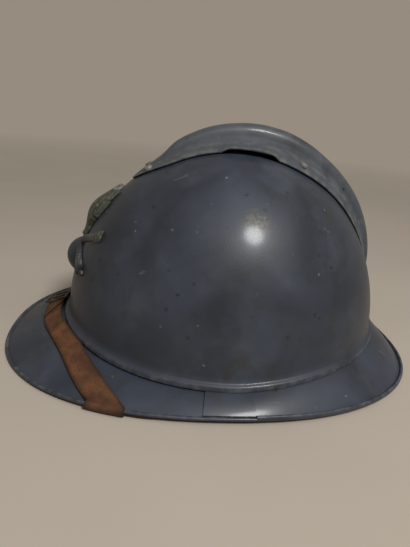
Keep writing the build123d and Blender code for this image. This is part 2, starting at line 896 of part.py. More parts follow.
def spacer(turn):
    """Corrugated plate inside the wall, its waves leaning with it."""
    along, across = sin(radians(turn)), cos(radians(turn))
    size = hypot(skull_half_length * along, skull_half_width * across)
    curve = (skull_half_length * skull_half_width) ** 2 / size**3
    corners = []
    for wave in range(spacer_waves):
        for pitch_share, depth_share in spacer_wave_shares:
            reach = spacer_pitch * (wave + pitch_share - (spacer_waves - 1 + spacer_wave_shares[3][0]) / 2)
            here = turn + degrees(reach / curve)
            inset = spacer_inset + spacer_depth * depth_share
            corners.append(brim_point(here, band_x(here, spacer_low, inset)))
    lean = wall_x(turn, spacer_high, sheet) - wall_x(turn, spacer_low, sheet)
    with BuildPart() as solid:
        with BuildSketch(Plane.XY.offset(spacer_low)):
            Polygon(*[(p.X, p.Y) for p in strip_outline(corners, spacer_sheet)[:-1]], align=None)
        height = spacer_high - spacer_low
        slope = Vector(lean * across, lean * along, height)
        extrude(amount=slope.length, dir=slope.normalized())
    return solid.part


def tab(turn):
    """Steel strip from the wall over the felt's top edge, folded down in front of it."""
    fold = band_x(turn, tab_fold_low, tab_inset)
    top = band_x(turn, tab_arm_low, tab_inset)
    path = [
        (fold, tab_fold_low),
        (top, tab_arm_low),
        (wall_x(turn, tab_foot_low, sheet) - tab_gap, tab_foot_low),
        (wall_x(turn, tab_foot_high, sheet) - tab_gap, tab_foot_high),
    ]
    with BuildPart() as solid:
        with BuildSketch(radial_plane(turn, 0)):
            Polygon(*[(p.X, p.Y) for p in strip_outline(path, tab_sheet)[:-1]], align=None)
        extrude(amount=tab_width / 2, both=True)
    return solid.part


def head_point(angle, climb):
    """Point on the tongues' outer faces: angle round the head, climb up its curve."""
    level = cos(radians(climb))
    x = tongue_half_width * level * cos(radians(angle))
    y = tongue_half_length * level * sin(radians(angle)) + skull_set_back
    return Vector(x, y, equator_height + tongue_rise * sin(radians(climb)))


def tongue(angle):
    """Leather tongue that rises over the head, narrowing to its tip."""
    with BuildPart() as solid:
        for climb, width_share in tongue_station_shares:
            here = head_point(angle, climb)
            up = head_point(angle, climb + search_angle) - here
            side = Vector(0, 0, 1).cross(up).normalized()
            if climb == tongue_station_shares[0][0]:
                up = Vector(0, 0, 1)
            half = tongue_width * width_share / 2
            along = tongue_half_length * cos(radians(angle))
            curve = hypot(tongue_half_width * sin(radians(angle)), along) ** 3
            curve *= cos(radians(climb)) / tongue_half_width / tongue_half_length
            sag = half**2 / 2 / curve
            with BuildSketch(Plane(origin=here, x_dir=side, z_dir=up.normalized())):
                with BuildLine():
                    low = -sag - tongue_leather
                    ThreePointArc((-half, -sag), (0, 0), (half, -sag))
                    Line((half, -sag), (half, low))
                    ThreePointArc((half, low), (0, -tongue_leather), (-half, low))
                    Line((-half, low), (-half, -sag))
                make_face()
        loft(ruled=True)
    return solid.part


skull_outside = dome(0)
skull_inside = dome(sheet)
badge_backing = dome(-badge_gap)
visor_collar = bead_reach - 2 * sheet - collar_gap - lap_gap
guard_collar = bead_reach - sheet - collar_gap

# The crest: one stamped strip, its flanges arched over the vent on both sides
with BuildPart() as crest:
    for turn in crest_turns():
        add(crest_section(turn, *crest_shape(turn)))
    loft(ruled=True)
    for turn, x in rivet_places():
        with BuildSketch(rivet_plane(turn, x)):
            Circle(rivet_shank_radius + rivet_fit)
        extrude(amount=crest_height, mode=Mode.SUBTRACT)
crest.part.label = "crest"
export_step(crest.part, "parts/crest.step")

# The flare and bead round the skull's foot, in two halves that meet at the sides
with BuildPart() as skirt:
    add(skirt_half(-180))
    add(skirt_half(0))

# The skull's drawn bowl, cut off above the flare
with BuildPart() as bowl:
    add(skull_outside)
    with BuildSketch(Plane(origin=(0, skull_set_back, equator_height))):
        Ellipse(skull_half_width, skull_half_length)
    extrude(amount=-equator_height)
    add(skull_inside, mode=Mode.SUBTRACT)
    with BuildSketch(Plane(origin=(0, skull_set_back, equator_height))):
        Ellipse(skull_half_width - sheet, skull_half_length - sheet)
    extrude(amount=-equator_height, mode=Mode.SUBTRACT)
    with BuildSketch(Plane.YZ):
        with BuildLine():
            reach = skull_half_length + overrun
            steps = [step / bead_points * 2 - 1 for step in range(bead_points + 1)]
            places = [skull_set_back + reach * share for share in steps]
            foot = [(place, bead_height(place) + bead_join) for place in places]
            Spline(*foot)
            Polyline(foot[-1], (foot[-1][0], -overrun), (foot[0][0], -overrun), foot[0])
        make_face()
    extrude(amount=skull_half_width + overrun, both=True, mode=Mode.SUBTRACT)

# The skull: the bowl with its foot flared into a skirt over the brim's collars
with BuildPart() as skull:
    add(bowl.part + skirt.part)
    with BuildSketch(Plane(origin=(0, skull_set_back, equator_height))):
        SlotOverall(vent_slot_length, vent_slot_width, rotation=90)
    extrude(amount=crown_rise + overrun, mode=Mode.SUBTRACT)
    for turn, x in rivet_places():
        with BuildSketch(rivet_plane(turn, x).offset(-overrun)):
            Circle(rivet_shank_radius + rivet_fit)
        extrude(amount=2 * overrun, mode=Mode.SUBTRACT)
    for turn in (-90 - prong_turn, -90 + prong_turn):
        with BuildSketch(radial_plane(turn, prong_height + prong_sheet / 2)):
            with Locations((wall_x(turn, prong_height, 0), 0)):
                Rectangle(overrun, slot_height)
        extrude(amount=slot_width / 2, both=True, mode=Mode.SUBTRACT)
skull.part.label = "skull"
export_step(skull.part, "parts/skull.step")

# The visor: front brim sheet with a tight folded hem
with BuildPart() as visor:
    drop = brim_drop + sheet + lap_gap
    add(brim_piece(-180 - visor_end_turn, visor_end_turn, visor_collar, drop, visor_hem))
visor.part.label = "visor"
export_step(visor.part, "parts/visor.step")

# The neck guard: rear brim sheet with a rolled hem, its ends lapped over the visor's
with BuildPart() as neck_guard:
    add(brim_piece(visor_end_turn, 180 - visor_end_turn, guard_collar, brim_drop, guard_hem))
    lap_hem = visor_hem + 2 * (sheet / 2 + lap_gap)
    add(brim_piece(lap_turn, visor_end_turn, guard_collar, brim_drop, lap_hem, True))
    add(brim_piece(180 - visor_end_turn, 180 - lap_turn, guard_collar, brim_drop, lap_hem, True))
neck_guard.part.label = "neck_guard"
export_step(neck_guard.part, "parts/neck_guard.step")

# The crest's rivets: domed heads outside, shanks through crest and skull, flat tails inside
with BuildPart() as crest_rivets:
    for turn, x in rivet_places():
        if x < 0:
            cut = rivet_blank(turn, x) - crest.part - skull.part
            add(cut.solids().sort_by(SortBy.VOLUME)[-1])
    mirror(about=Plane.YZ)
crest_rivets.part.label = "crest_rivets"
export_step(crest_rivets.part, "parts/crest_rivets.step")

# The badge: a bomb and its flame stamped over two crossed cannon barrels
with BuildPart() as badge:
    core = (bomb_radius**2 - bomb_rise**2) / (2 * bomb_rise)
    spot = crest_line(bomb_turn)
    with Locations(Location(spot.origin - spot.y_dir * core)):
        Sphere(bomb_rise + core)
    add(flame())
    add(cannon(1, cannon_low_rise_share))
    add(cannon(-1, cannon_high_rise_share))
    add(badge_backing, mode=Mode.SUBTRACT)
badge.part.label = "badge"
export_step(badge.part, "parts/badge.step")

# The badge's prongs: thin tongues soldered to its back and bent down inside the skull
with BuildPart() as badge_prongs:
    for turn in (-90 - prong_turn, -90 + prong_turn):
        outside = wall_x(turn, prong_height + prong_sheet, 0) + badge_gap / 2
        bend = wall_x(turn, prong_height, sheet) - prong_gap
        foot = wall_x(turn, prong_height - prong_length, sheet) - prong_gap
        path = [(foot, prong_height - prong_length), (bend, prong_height), (outside, prong_height)]
        with BuildSketch(radial_plane(turn, 0)):
            Polygon(*[(p.X, p.Y) for p in strip_outline(path, prong_sheet)[:-1]], align=None)
        extrude(amount=prong_width / 2, both=True)
badge_prongs.part.label = "badge_prongs"
export_step(badge_prongs.part, "parts/badge_prongs.step")

# The lugs: strips inside the skull's base, rolled into an eye for the ring
eye = ring_wire + ring_fit
hinge_x = wall_x(ring_turn, ring_level, sheet) - lug_gap - lug_sheet - eye
with BuildPart() as strap_lug_left:
    with BuildSketch(radial_plane(ring_turn, 0)):
        top = ring_level + lug_height
        low_x, top_x = hinge_x + eye, wall_x(ring_turn, top, sheet) - lug_gap - lug_sheet
        Polygon(
            (low_x, ring_level),
            (low_x + lug_sheet, ring_level),
            (top_x + lug_sheet, top),
            (top_x, top),
            align=None,
        )
        with Locations((hinge_x, ring_level)):
            Circle(eye + lug_sheet)
            Circle(eye, mode=Mode.SUBTRACT)
    extrude(amount=lug_width / 2, both=True)
strap_lug_left.part.label = "strap_lug_left"
export_step(strap_lug_left.part, "parts/strap_lug_left.step")

with BuildPart() as strap_lug_right:
    mirror(strap_lug_left.part, about=Plane.YZ)
strap_lug_right.part.label = "strap_lug_right"
export_step(strap_lug_right.part, "parts/strap_lug_right.step")

# The rings: wire bent round the eye and the strap's loop, its ends butted together
lean = asin(ring_out / ring_length)
hinge = radial_plane(ring_turn, ring_level)
hinge_point = hinge.origin + hinge.x_dir * hinge_x
down = hinge.x_dir * sin(lean) + Vector(0, 0, -cos(lean))
ring_plane = Plane(origin=hinge_point, x_dir=hinge.z_dir, z_dir=hinge.z_dir.cross(down))
ring_half = ring_inner_half + ring_wire
with BuildPart() as strap_ring_left:
    with BuildLine(ring_plane):
        corners = [
            (0, 0),
            (ring_half - ring_corner, 0),
            (ring_half, ring_corner),
            (ring_half, ring_length - ring_corner),
            (ring_half - ring_corner, ring_length),
            (ring_corner - ring_half, ring_length),
            (-ring_half, ring_length - ring_corner),
            (-ring_half, ring_corner),
            (ring_corner - ring_half, 0),
        ]
        Polyline(*corners, corners[0])
    with BuildSketch(Plane(origin=hinge_point, z_dir=ring_plane.x_dir)):
        Circle(ring_wire)
    sweep(transition=Transition.RIGHT)
strap_ring_left.part.label = "strap_ring_left"
export_step(strap_ring_left.part, "parts/strap_ring_left.step")

with BuildPart() as strap_ring_right:
    mirror(strap_ring_left.part, about=Plane.YZ)
strap_ring_right.part.label = "strap_ring_right"
export_step(strap_ring_right.part, "parts/strap_ring_right.step")

# The chin strap: laid over the visor, folded round its edge and sewn round the rings
with BuildPart() as strap_top:
    add(strap_over(1, double_reach_share))
    with BuildSketch(Plane.YZ.offset(-strap_double_right)):
        Rectangle(brim_half_length * 2, brim_half_width * 2)
    extrude(amount=strap_double_right + strap_double_left, mode=Mode.INTERSECT)
with BuildPart() as strap_under:
    for step in range(under_sections):
        turn = fold_first_turn - fold_reach
        turn += (under_last_turn - turn) * step / (under_sections - 1)
        add(under_section(turn))
    loft(ruled=True)
    add(under_prism(), mode=Mode.INTERSECT)
    add(strap_loop())
with BuildPart() as chin_strap:
    for step in range(strap_sections):
        turn = -180 - strap_last_turn + (180 + 2 * strap_last_turn) * step / (strap_sections - 1)
        add(strap_section(turn))
    loft(ruled=True)
    add(strap_top.part)
    add(strap_prism(), mode=Mode.INTERSECT)
    add(strap_under.part)
    mirror(strap_under.part, about=Plane.YZ)
chin_strap.part.label = "chin_strap"
export_step(chin_strap.part, "parts/chin_strap.step")

# The buckle: a frame of three bars over the doubled leather, with a thin foot under it
with BuildPart() as strap_buckle:
    foot = bead_height(base_point(buckle_turn)[1])
    near, far = buckle_middle - buckle_inside / 2, buckle_middle + buckle_inside / 2
    slope = atan2(visor_top(buckle_turn, far) - visor_top(buckle_turn, near), buckle_inside)
    base = radial_plane(buckle_turn, foot)
    along = base.x_dir * cos(slope) + Vector(0, 0, sin(slope))
    middle = base.from_local_coords((buckle_middle, visor_top(buckle_turn, buckle_middle)))
    lift = base.z_dir.cross(along)
    lift = lift if lift.Z > 0 else -lift
    low = buckle_fit
    inner_low = low + buckle_foot
    inner_high = buckle_stack + buckle_fit
    width = buckle_inside + 2 * buckle_bar
    face = Plane(origin=middle, x_dir=along, z_dir=along.cross(lift))
    with BuildSketch(face):
        with Locations((0, (low + inner_high + buckle_plate) / 2)):
            Rectangle(width, inner_high + buckle_plate - low)
        with Locations((0, (inner_low + inner_high) / 2)):
            Rectangle(buckle_inside, inner_high - inner_low, mode=Mode.SUBTRACT)
    extrude(amount=buckle_foot_length / 2, both=True)
    with BuildSketch(face):
        with Locations((0, inner_high + buckle_plate / 2)):
            Rectangle(width, buckle_plate)
    extrude(amount=buckle_length / 2, both=True)
    window = (buckle_length - 3 * buckle_bar) / 2
    with BuildSketch(Plane(origin=middle, x_dir=along, z_dir=lift)):
        with Locations((0, (window + buckle_bar) / 2), (0, -(window + buckle_bar) / 2)):
            Rectangle(buckle_inside, window)
    extrude(amount=buckle_stack * 2, mode=Mode.SUBTRACT)
strap_buckle.part.label = "strap_buckle"
export_step(strap_buckle.part, "parts/strap_buckle.step")

# The felt band, held off the wall by the spacers
with BuildPart() as liner_felt:
    add(band(felt_inset, felt_low, felt_high))
    add(band(felt_inset + felt_thickness, felt_low, felt_high), mode=Mode.SUBTRACT)
liner_felt.part.label = "liner_felt"
export_step(liner_felt.part, "parts/liner_felt.step")

# The leather sweatband inside the felt
with BuildPart() as liner_sweatband:
    add(band(sweat_inset, sweat_low, sweat_high))
    add(band(sweat_inset + sweat_leather, sweat_low, sweat_high), mode=Mode.SUBTRACT)
liner_sweatband.part.label = "liner_sweatband"
export_step(liner_sweatband.part, "parts/liner_sweatband.step")

# The lace that gathers the tongues' tips
with BuildPart() as liner_lace:
    level = head_point(0, lace_climb).Z + lace_radius + lace_gap
    share = cos(radians(lace_climb))
    corners = []
    for step in range(lace_steps):
        x = (tongue_half_width * share + lace_gap) * cos(radians(360 * step / lace_steps))
        y = (tongue_half_length * share + lace_gap) * sin(radians(360 * step / lace_steps))
        corners.append((x, y + skull_set_back, level))
    start = (Vector(*corners[0]) + Vector(*corners[1])) / 2
    with BuildLine():
        Polyline(start, *corners[1:], corners[0], start)
    with BuildSketch(Plane(origin=start, z_dir=Vector(*corners[1]) - start)):
        Circle(lace_radius)
    sweep(transition=Transition.RIGHT)
liner_lace.part.label = "liner_lace"
export_step(liner_lace.part, "parts/liner_lace.step")

# The seven tongues
for number, angle in enumerate(tongue_angles):
    with BuildPart() as liner_tongue:
        add(tongue(angle))
    liner_tongue.part.label = f"liner_tongue_{number + 1}"
    export_step(liner_tongue.part, f"parts/liner_tongue_{number + 1}.step")

# The corrugated spacers, each between the wall and the felt
for place, turn in (("front", -90), ("rear", 90), ("left", 0), ("right", 180)):
    with BuildPart() as liner_spacer:
        add(spacer(turn))
    liner_spacer.part.label = f"liner_spacer_{place}"
    export_step(liner_spacer.part, f"parts/liner_spacer_{place}.step")

# The steel tabs, soldered inside the skull and folded over the felt
for number, turn in enumerate(tab_turns):
    with BuildPart() as liner_tab:
        add(tab(turn))
    liner_tab.part.label = f"liner_tab_{number + 1}"
    export_step(liner_tab.part, f"parts/liner_tab_{number + 1}.step")

length = neck_guard.part.bounding_box().max.Y - visor.part.bounding_box().min.Y
print(f"Helmet: {length:.1f} mm long, {neck_guard.part.bounding_box().size.X:.1f} mm wide")
print(f"Crest top: {crest.part.bounding_box().max.Z:.1f} mm above the table")
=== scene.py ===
from math import acos, asin, copysign, cos, hypot, pi, radians, sin, sqrt

import bpy
from mathutils import Matrix, Vector


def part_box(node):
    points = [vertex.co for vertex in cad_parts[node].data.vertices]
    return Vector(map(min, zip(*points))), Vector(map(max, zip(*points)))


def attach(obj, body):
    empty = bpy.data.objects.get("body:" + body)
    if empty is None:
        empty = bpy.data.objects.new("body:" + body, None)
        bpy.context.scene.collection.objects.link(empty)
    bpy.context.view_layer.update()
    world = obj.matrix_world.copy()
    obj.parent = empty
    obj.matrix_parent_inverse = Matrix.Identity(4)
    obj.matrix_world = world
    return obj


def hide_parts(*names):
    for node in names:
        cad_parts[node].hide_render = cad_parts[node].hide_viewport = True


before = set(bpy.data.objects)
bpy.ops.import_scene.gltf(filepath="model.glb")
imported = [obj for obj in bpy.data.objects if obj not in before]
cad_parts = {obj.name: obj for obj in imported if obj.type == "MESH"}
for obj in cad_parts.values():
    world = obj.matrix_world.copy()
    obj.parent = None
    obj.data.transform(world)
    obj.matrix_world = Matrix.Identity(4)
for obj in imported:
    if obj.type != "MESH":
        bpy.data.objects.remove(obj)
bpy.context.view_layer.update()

# The skull: a bowl drawn from one sheet of mild steel, with its foot flared into a bead
# that hangs over the brim's collars. It is dipped in a horizon-blue paint that has dulled,
# and is worn thin on the bead and spotted with rust where it has been knocked.
sheet = 0.0007
bead_reach = 0.003
bead_skirt = 0.0026
bead_join = 0.008
skull_low, skull_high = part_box("skull")
skull_half_width = skull_high.x - bead_reach
skull_half_length = (skull_high.y - skull_low.y) / 2 - bead_reach
skull_set_back = (skull_high.y + skull_low.y) / 2
equator_height = 0.020
crown_rise = 0.121
bead_low_height = skull_low.z
bead_front_lift = 0.0084
bead_rear_lift = 0.0125
bead_front_power = 2.5
bead_rear_power = 1.2
vent_slot_half_length = 0.031
vent_slot_half_width = 0.0045
turn_step = 2.5
wall_rows = 40
flare_steps = 14
knee_reach, wrist_reach, wrist_rise, tail_rise = 0.83, 0.3, 0.4, 0.8
tail_out = 0.0002
sharp_angle = 34
speck_core, smudge_core = 0.55, 0.2
tiny = 1e-9


def srgb(red, green, blue):
    """A colour read off a paint card, 0 to 255, as the shader wants it."""
    linear = []
    for value in (red, green, blue):
        share = value / 255
        linear.append(share / 12.92 if share <= 0.04045 else ((share + 0.055) / 1.055) ** 2.4)
    return (*linear, 1.0)


def bead_height(y):
    """Height of the bead's lower edge at a distance along the helmet."""
    share = (y - skull_set_back) / (skull_half_length + bead_reach)
    if share < 0:
        return bead_low_height + bead_front_lift * (-share) ** bead_front_power
    return bead_low_height + bead_rear_lift * share**bead_rear_power


def heading(turn):
    """How far a step of one goes along X and Y, turn degrees from +X."""
    return cos(radians(turn)), sin(radians(turn))


def base_point(turn):
    """Foot of the skull's wall where its outward normal points turn degrees from +X."""
    across, along = heading(turn)
    size = hypot(skull_half_length * along, skull_half_width * across)
    x = skull_half_width**2 * across / size
    y = skull_half_length**2 * along / size + skull_set_back
    return x, y


def foot_height(turn):
    """Height of the bead's lower edge at a turn."""
    return bead_height(base_point(turn)[1])


def skull_scale(level):
    """Share of the skull's plan that is left at a height above the table."""
    rise = max(level - equator_height, 0.0) / crown_rise
    return sqrt(max(1 - rise * rise, 0.0))


def wall_point(turn, level, out):
    """Point a distance out from the skull's wall at a height."""
    x, y = base_point(turn)
    east, north = heading(turn)
    scale = skull_scale(level)
    y = skull_set_back + (y - skull_set_back) * scale
    return Vector((x * scale + out * east, y + out * north, level))


def between(start, end, share):
    """Value a share of the way from one to another."""
    return start + (end - start) * share


def eased(start, end, leave, arrive, share):
    """Smooth value or point between two, with the slopes that it leaves and arrives by."""
    square, cube = share**2, share**3
    return (
        start * (2 * cube - 3 * square + 1)
        + leave * (cube - 2 * square + share)
        + end * (3 * square - 2 * cube)
        + arrive * (cube - square)
    )


def curve_through(points, count):
    """Even run of points on a smooth curve through the given ones."""
    spots = [Vector(point) for point in points]
    lengths = [0.0]
    for here, following in zip(spots, spots[1:]):
        lengths.append(lengths[-1] + (following - here).length)
    run = []
    for step in range(count + 1):
        reach = lengths[-1] * step / count
        here = max(place for place in range(len(spots) - 1) if lengths[place] <= reach + tiny)
        gap = lengths[here + 1] - lengths[here]
        share = (reach - lengths[here]) / gap
        start, end = spots[here], spots[here + 1]
        leave = arrive = end - start
        if here > 0:
            leave = (end - spots[here - 1]) * (gap / (lengths[here + 1] - lengths[here - 1]))
        if here + 2 < len(spots):
            arrive = (spots[here + 2] - start) * (gap / (lengths[here + 2] - lengths[here]))
        run.append(eased(start, end, leave, arrive, share))
    return run


def shown(name, data):
    """An object in the scene for a mesh, a light or a camera."""
    made = bpy.data.objects.new(name, data)
    bpy.context.scene.collection.objects.link(made)
    return made


def skin(name, loops, around=False, wear=None):
    """Mesh stretched over a row of closed section loops, with a worn share for each loop point."""
    count = len(loops[0])
    corners = [tuple(point) for loop in loops for point in loop]
    faces = []
    rows = len(loops) if around else len(loops) - 1
    for row in range(rows):
        near, far = row * count, (row + 1) % len(loops) * count
        for place in range(count):
            following = (place + 1) % count
            faces.append((near + place, near + following, far + following, far + place))
    if not around:
        faces.append(tuple(reversed(range(count))))
        faces.append(tuple((len(loops) - 1) * count + place for place in range(count)))
    mesh = bpy.data.meshes.new(name)
    mesh.from_pydata(corners, [], faces)
    mesh.update()
    mesh.validate()
    if wear is not None:
        worn = mesh.attributes.new("worn", "FLOAT", "POINT")
        worn.data.foreach_set("value", [share for _ in loops for share in wear])
    turn_outwards(mesh)
    return shown(name, mesh)


def turn_outwards(mesh):
    """Makes every face look outwards and the shading smooth except at sharp corners."""
    volume = 0.0
    for face in mesh.polygons:
        spots = [mesh.vertices[index].co for index in face.vertices]
        for second, third in zip(spots[1:], spots[2:]):
            volume += spots[0].dot(second.cross(third))
    if volume < 0:
        mesh.flip_normals()
    mesh.shade_smooth()
    mesh.set_sharp_from_angle(angle=radians(sharp_angle))


def joined(name, *parts):
    """One object from several, which keep their meshes."""
    with bpy.context.temp_override(active_object=parts[0], selected_editable_objects=list(parts)):
        bpy.ops.object.join()
    parts[0].name = name
    return parts[0]


def shader_node(tree, kind, settings, sockets):
    """Adds a node, sets its choices, and fills or links its sockets."""
    made = tree.nodes.new("ShaderNode" + kind)
    for key, value in settings.items():
        setattr(made, key, value)
    for key, value in sockets.items():
        if isinstance(value, bpy.types.NodeSocket):
            tree.links.new(value, made.inputs[key])
        else:
            made.inputs[key].default_value = value
    return made


def new_finish(name, roughness, metallic=0.0, **others):
    """An empty material with its shader and the object's own coordinates."""
    finish = bpy.data.materials.new(name)
    finish.use_nodes = True
    shader = finish.node_tree.nodes["Principled BSDF"]
    levels = {"Roughness": roughness, "Metallic": metallic, **others}
    for socket, level in levels.items():
        shader.inputs[socket.replace("_", " ")].default_value = level
    place = finish.node_tree.nodes.new("ShaderNodeTexCoord").outputs["Object"]
    return finish, shader, place


def coloured(shader, colour):
    """Gives the shader a colour that varies over the surface."""
    colour.id_data.links.new(colour, shader.inputs["Base Color"])


def ranged(value, low, high, least=0.0, most=1.0):
    """Spreads a value between low and high over the range from least to most."""
    ends = {"From Min": low, "From Max": high, "To Min": least, "To Max": most}
    return shader_node(value.id_data, "MapRange", {}, {"Value": value, **ends}).outputs["Result"]


def cloud(place, scale, low, high, detail=5.0, stretch=None, warp=0.0):
    """Share that drifts over the surface: 0 where the noise is low, 1 where it is high."""
    tree = place.id_data
    if stretch is not None:
        place = shader_node(tree, "Mapping", {}, {"Vector": place, "Scale": stretch}).outputs[0]
    sockets = {"Vector": place, "Scale": scale, "Detail": detail, "Distortion": warp}
    noise = shader_node(tree, "TexNoise", {}, sockets)
    return ranged(noise.outputs["Fac"], low, high)


def ragged(place, scale, reach):
    """The same coordinates pushed about by fine noise, so that marks get ragged edges."""
    tree = place.id_data
    push = shader_node(tree, "TexNoise", {}, {"Vector": place, "Scale": scale, "Detail": 4.0})
    scaled = shader_node(
        tree, "VectorMath", {"operation": "SCALE"}, {0: push.outputs["Color"], "Scale": reach}
    )
    moved = shader_node(tree, "VectorMath", {"operation": "ADD"}, {0: place, 1: scaled.outputs[0]})
    return moved.outputs[0]


def specks(place, scale, size, rarity):
    """Small marks: 1 inside a mark, 0 outside, on only some of the cells."""
    tree = place.id_data
    cells = shader_node(tree, "TexVoronoi", {}, {"Vector": place, "Scale": scale})
    inside = ranged(cells.outputs["Distance"], size, size * speck_core)
    chosen = shader_node(tree, "SeparateColor", {}, {"Color": cells.outputs["Color"]})
    kept = shader_node(
        tree, "Math", {"operation": "GREATER_THAN"}, {0: chosen.outputs["Red"], 1: rarity}
    )
    return times(inside, kept.outputs[0])


def times(first, second):
    """Product of two shares."""
    made = shader_node(first.id_data, "Math", {"operation": "MULTIPLY"}, {0: first, 1: second})
    return made.outputs[0]


def tint(share, under, over):
    """Colour over laid on colour under by a share."""
    made = shader_node(share.id_data, "Mix", {"data_type": "RGBA"}, {0: share, 6: under, 7: over})
    return made.outputs[2]


def laid(colour, share, amount, over):
    """The colour with another laid over it, by an amount of a share."""
    return tint(times(share, amount), colour, over)


def bumped(shader, height, distance, strength=0.5):
    """Raises the shader's surface by a height share times a distance in metres."""
    sockets = {"Height": height, "Distance": distance, "Strength": strength}
    bump = shader_node(height.id_data, "Bump", {}, sockets)
    height.id_data.links.new(bump.outputs["Normal"], shader.inputs["Normal"])


def smudge(place, spot, size):
    """Soft mark round one spot on the metal, broken up by noise."""
    away = shader_node(place.id_data, "VectorMath", {"operation": "DISTANCE"}, {0: place, 1: spot})
    near = ranged(away.outputs["Value"], size, size * smudge_core)
    return times(near, cloud(place, 420.0, 0.44, 0.58, detail=8.0))


def helmet_paint(name, base, shadow, sheen, edge_wear_and_highlight, smudges=()):
    """Old horizon-blue paint: uneven, stained, scratched, speckled, and worn along its edges, with painted
    sheen over dusty patches and painted highlight along worn creases.
    """
    finish, shader, place = new_finish(
        name, 0.4, Coat_Weight=0.14, Coat_Roughness=0.15, Specular_IOR_Level=0.3
    )
    tree = place.id_data
    rough_place = ragged(place, 900.0, 0.0030)
    broken = cloud(place, 1300.0, 0.42, 0.52, detail=3.0)
    drift = cloud(place, 24.0, 0.36, 0.66, detail=8.0, warp=0.5)
    colour = tint(drift, shadow, base)
    # Lighter grey patches laid by noise: partly real dust, partly painted sheen.
    dust_and_sheen = cloud(place, 52.0, 0.54, 0.82, detail=9.0)
    colour = laid(colour, dust_and_sheen, 0.35, sheen)
    stain = cloud(place, 38.0, 0.60, 0.72, detail=9.0, warp=1.4)
    colour = laid(colour, stain, 0.5, srgb(46, 46, 36))
    streak = cloud(place, 66.0, 0.64, 0.78, detail=4.0, stretch=(1.0, 1.0, 0.25))
    colour = laid(colour, streak, 0.35, srgb(30, 32, 33))
    scratch = cloud(rough_place, 240.0, 0.735, 0.76, detail=2.0, stretch=(1.0, 0.05, 0.3))
    colour = laid(colour, scratch, 0.4, srgb(96, 98, 94))
    rust = times(specks(rough_place, 150.0, 0.24, 0.90), broken)
    colour = laid(colour, rust, 0.8, srgb(26, 24, 22))
    chip = times(specks(rough_place, 210.0, 0.20, 0.965), broken)
    colour = laid(colour, chip, 0.6, srgb(128, 127, 114))
    for spot, size, mark in smudges:
        colour = laid(colour, smudge(place, spot, size), 0.8, mark)
    # Lighter paint along the worn edges, broken by noise: partly real worn paint, partly painted highlight
    # along the crest's creases.
    edge = shader_node(tree, "Attribute", {"attribute_name": "worn"}, {}).outputs["Fac"]
    rub = cloud(place, 210.0, 0.42, 0.66, detail=8.0)
    worn = times(times(edge, rub), edge_wear_and_highlight)
    colour = tint(worn, colour, srgb(116, 114, 106))
    coloured(shader, colour)
    tree.links.new(ranged(drift, 0.0, 1.0, 0.40, 0.54), shader.inputs["Roughness"])
    grain = cloud(place, 700.0, 0.3, 0.7, detail=4.0)
    bumped(shader, grain, 0.00005, 0.3)
    return finish


def put_on(piece, finish, slot_name, *nodes):
    """Gives a piece of the shell its material, and the CAD nodes that it stands for; the slot name is not
    used.
    """
    piece.data.materials.clear()
    piece.data.materials.append(finish)
    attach(piece, "shell")
    if nodes:
        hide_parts(*nodes)


def slot_reach(turn):
    """Share of the skull's plan at the crown vent's edge, in the direction of a turn."""
    x, y = base_point(turn)
    y -= skull_set_back
    straight = vent_slot_half_length - vent_slot_half_width
    if abs(x) > tiny and abs(y) * vent_slot_half_width / abs(x) <= straight:
        return vent_slot_half_width / abs(x)
    size = hypot(x, y)
    across, along = abs(x) / size, abs(y) / size
    reach = straight * along + sqrt(max(vent_slot_half_width**2 - (straight * across) ** 2, 0.0))
    return reach / size


def flare(inset):
    """Profile from the bead's lower edge up to the wall: distance out and height over the foot."""
    knee = bead_skirt + sheet
    bend = curve_through(
        [
            (bead_reach - inset, bead_skirt, 0),
            (bead_reach * knee_reach - inset, knee - inset / 2, 0),
            (bead_reach * wrist_reach - inset, knee + bead_reach * wrist_rise - inset / 2, 0),
            (tail_out - inset, bead_join * tail_rise, 0),
            (-inset, bead_join, 0),
        ],
        flare_steps,
    )
    return [(bead_reach - inset, 0.0)] + [(point.x, point.y) for point in bend]


def skull_loop(turn):
    """Closed profile of the skull's sheet at a turn, outside up and inside down."""
    foot = foot_height(turn)
    outside, inside = [], []
    for inset, run in ((0.0, outside), (sheet, inside)):
        for out, height in flare(inset):
            run.append(wall_point(turn, foot + height, out))
        first = asin(max(foot + bead_join - equator_height, 0.0) / crown_rise)
        last = acos(slot_reach(turn))
        for row in range(1, wall_rows + 1):
            latitude = between(first, last, row / wall_rows)
            level = equator_height + (crown_rise - inset) * sin(latitude)
            x, y = base_point(turn)
            shrink = cos(latitude) - inset / skull_half_width * cos(latitude)
            run.append(Vector((x * shrink, skull_set_back + (y - skull_set_back) * shrink, level)))
    return outside + inside[::-1]


# Marks that years of handling have left on the wearer's left side: where, how wide, what colour
olive_stain, dark_stain, bare_spot = srgb(92, 86, 60), srgb(24, 24, 22), srgb(132, 130, 112)
wall_marks = (
    ((0.0632, 0.0125, 0.1060), 0.010, olive_stain),
    ((0.0540, 0.0470, 0.1090), 0.004, dark_stain),
    ((0.0560, 0.0555, 0.1000), 0.004, dark_stain),
    ((0.0740, 0.0637, 0.0530), 0.006, srgb(44, 45, 30)),
    ((0.0750, 0.0620, 0.0475), 0.005, srgb(44, 45, 30)),
    ((0.0800, 0.0130, 0.0690), 0.003, bare_spot),
    ((0.0790, 0.0170, 0.0700), 0.002, bare_spot),
)
shell_paint = helmet_paint(
    "shell_paint", srgb(53, 58, 68), srgb(39, 43, 50), srgb(76, 80, 85), 0.3, wall_marks
)
skull_loops = [skull_loop(turn_step * step) for step in range(int(360 / turn_step))]
bead_wear = [1.0, 0.7, 0.5, 0.3]
skull_wear = bead_wear + [0.0] * (len(skull_loops[0]) - len(bead_wear))
skull = skin("skull_bowl", skull_loops, around=True, wear=skull_wear)
put_on(skull, shell_paint, "shell_paint", "skull")

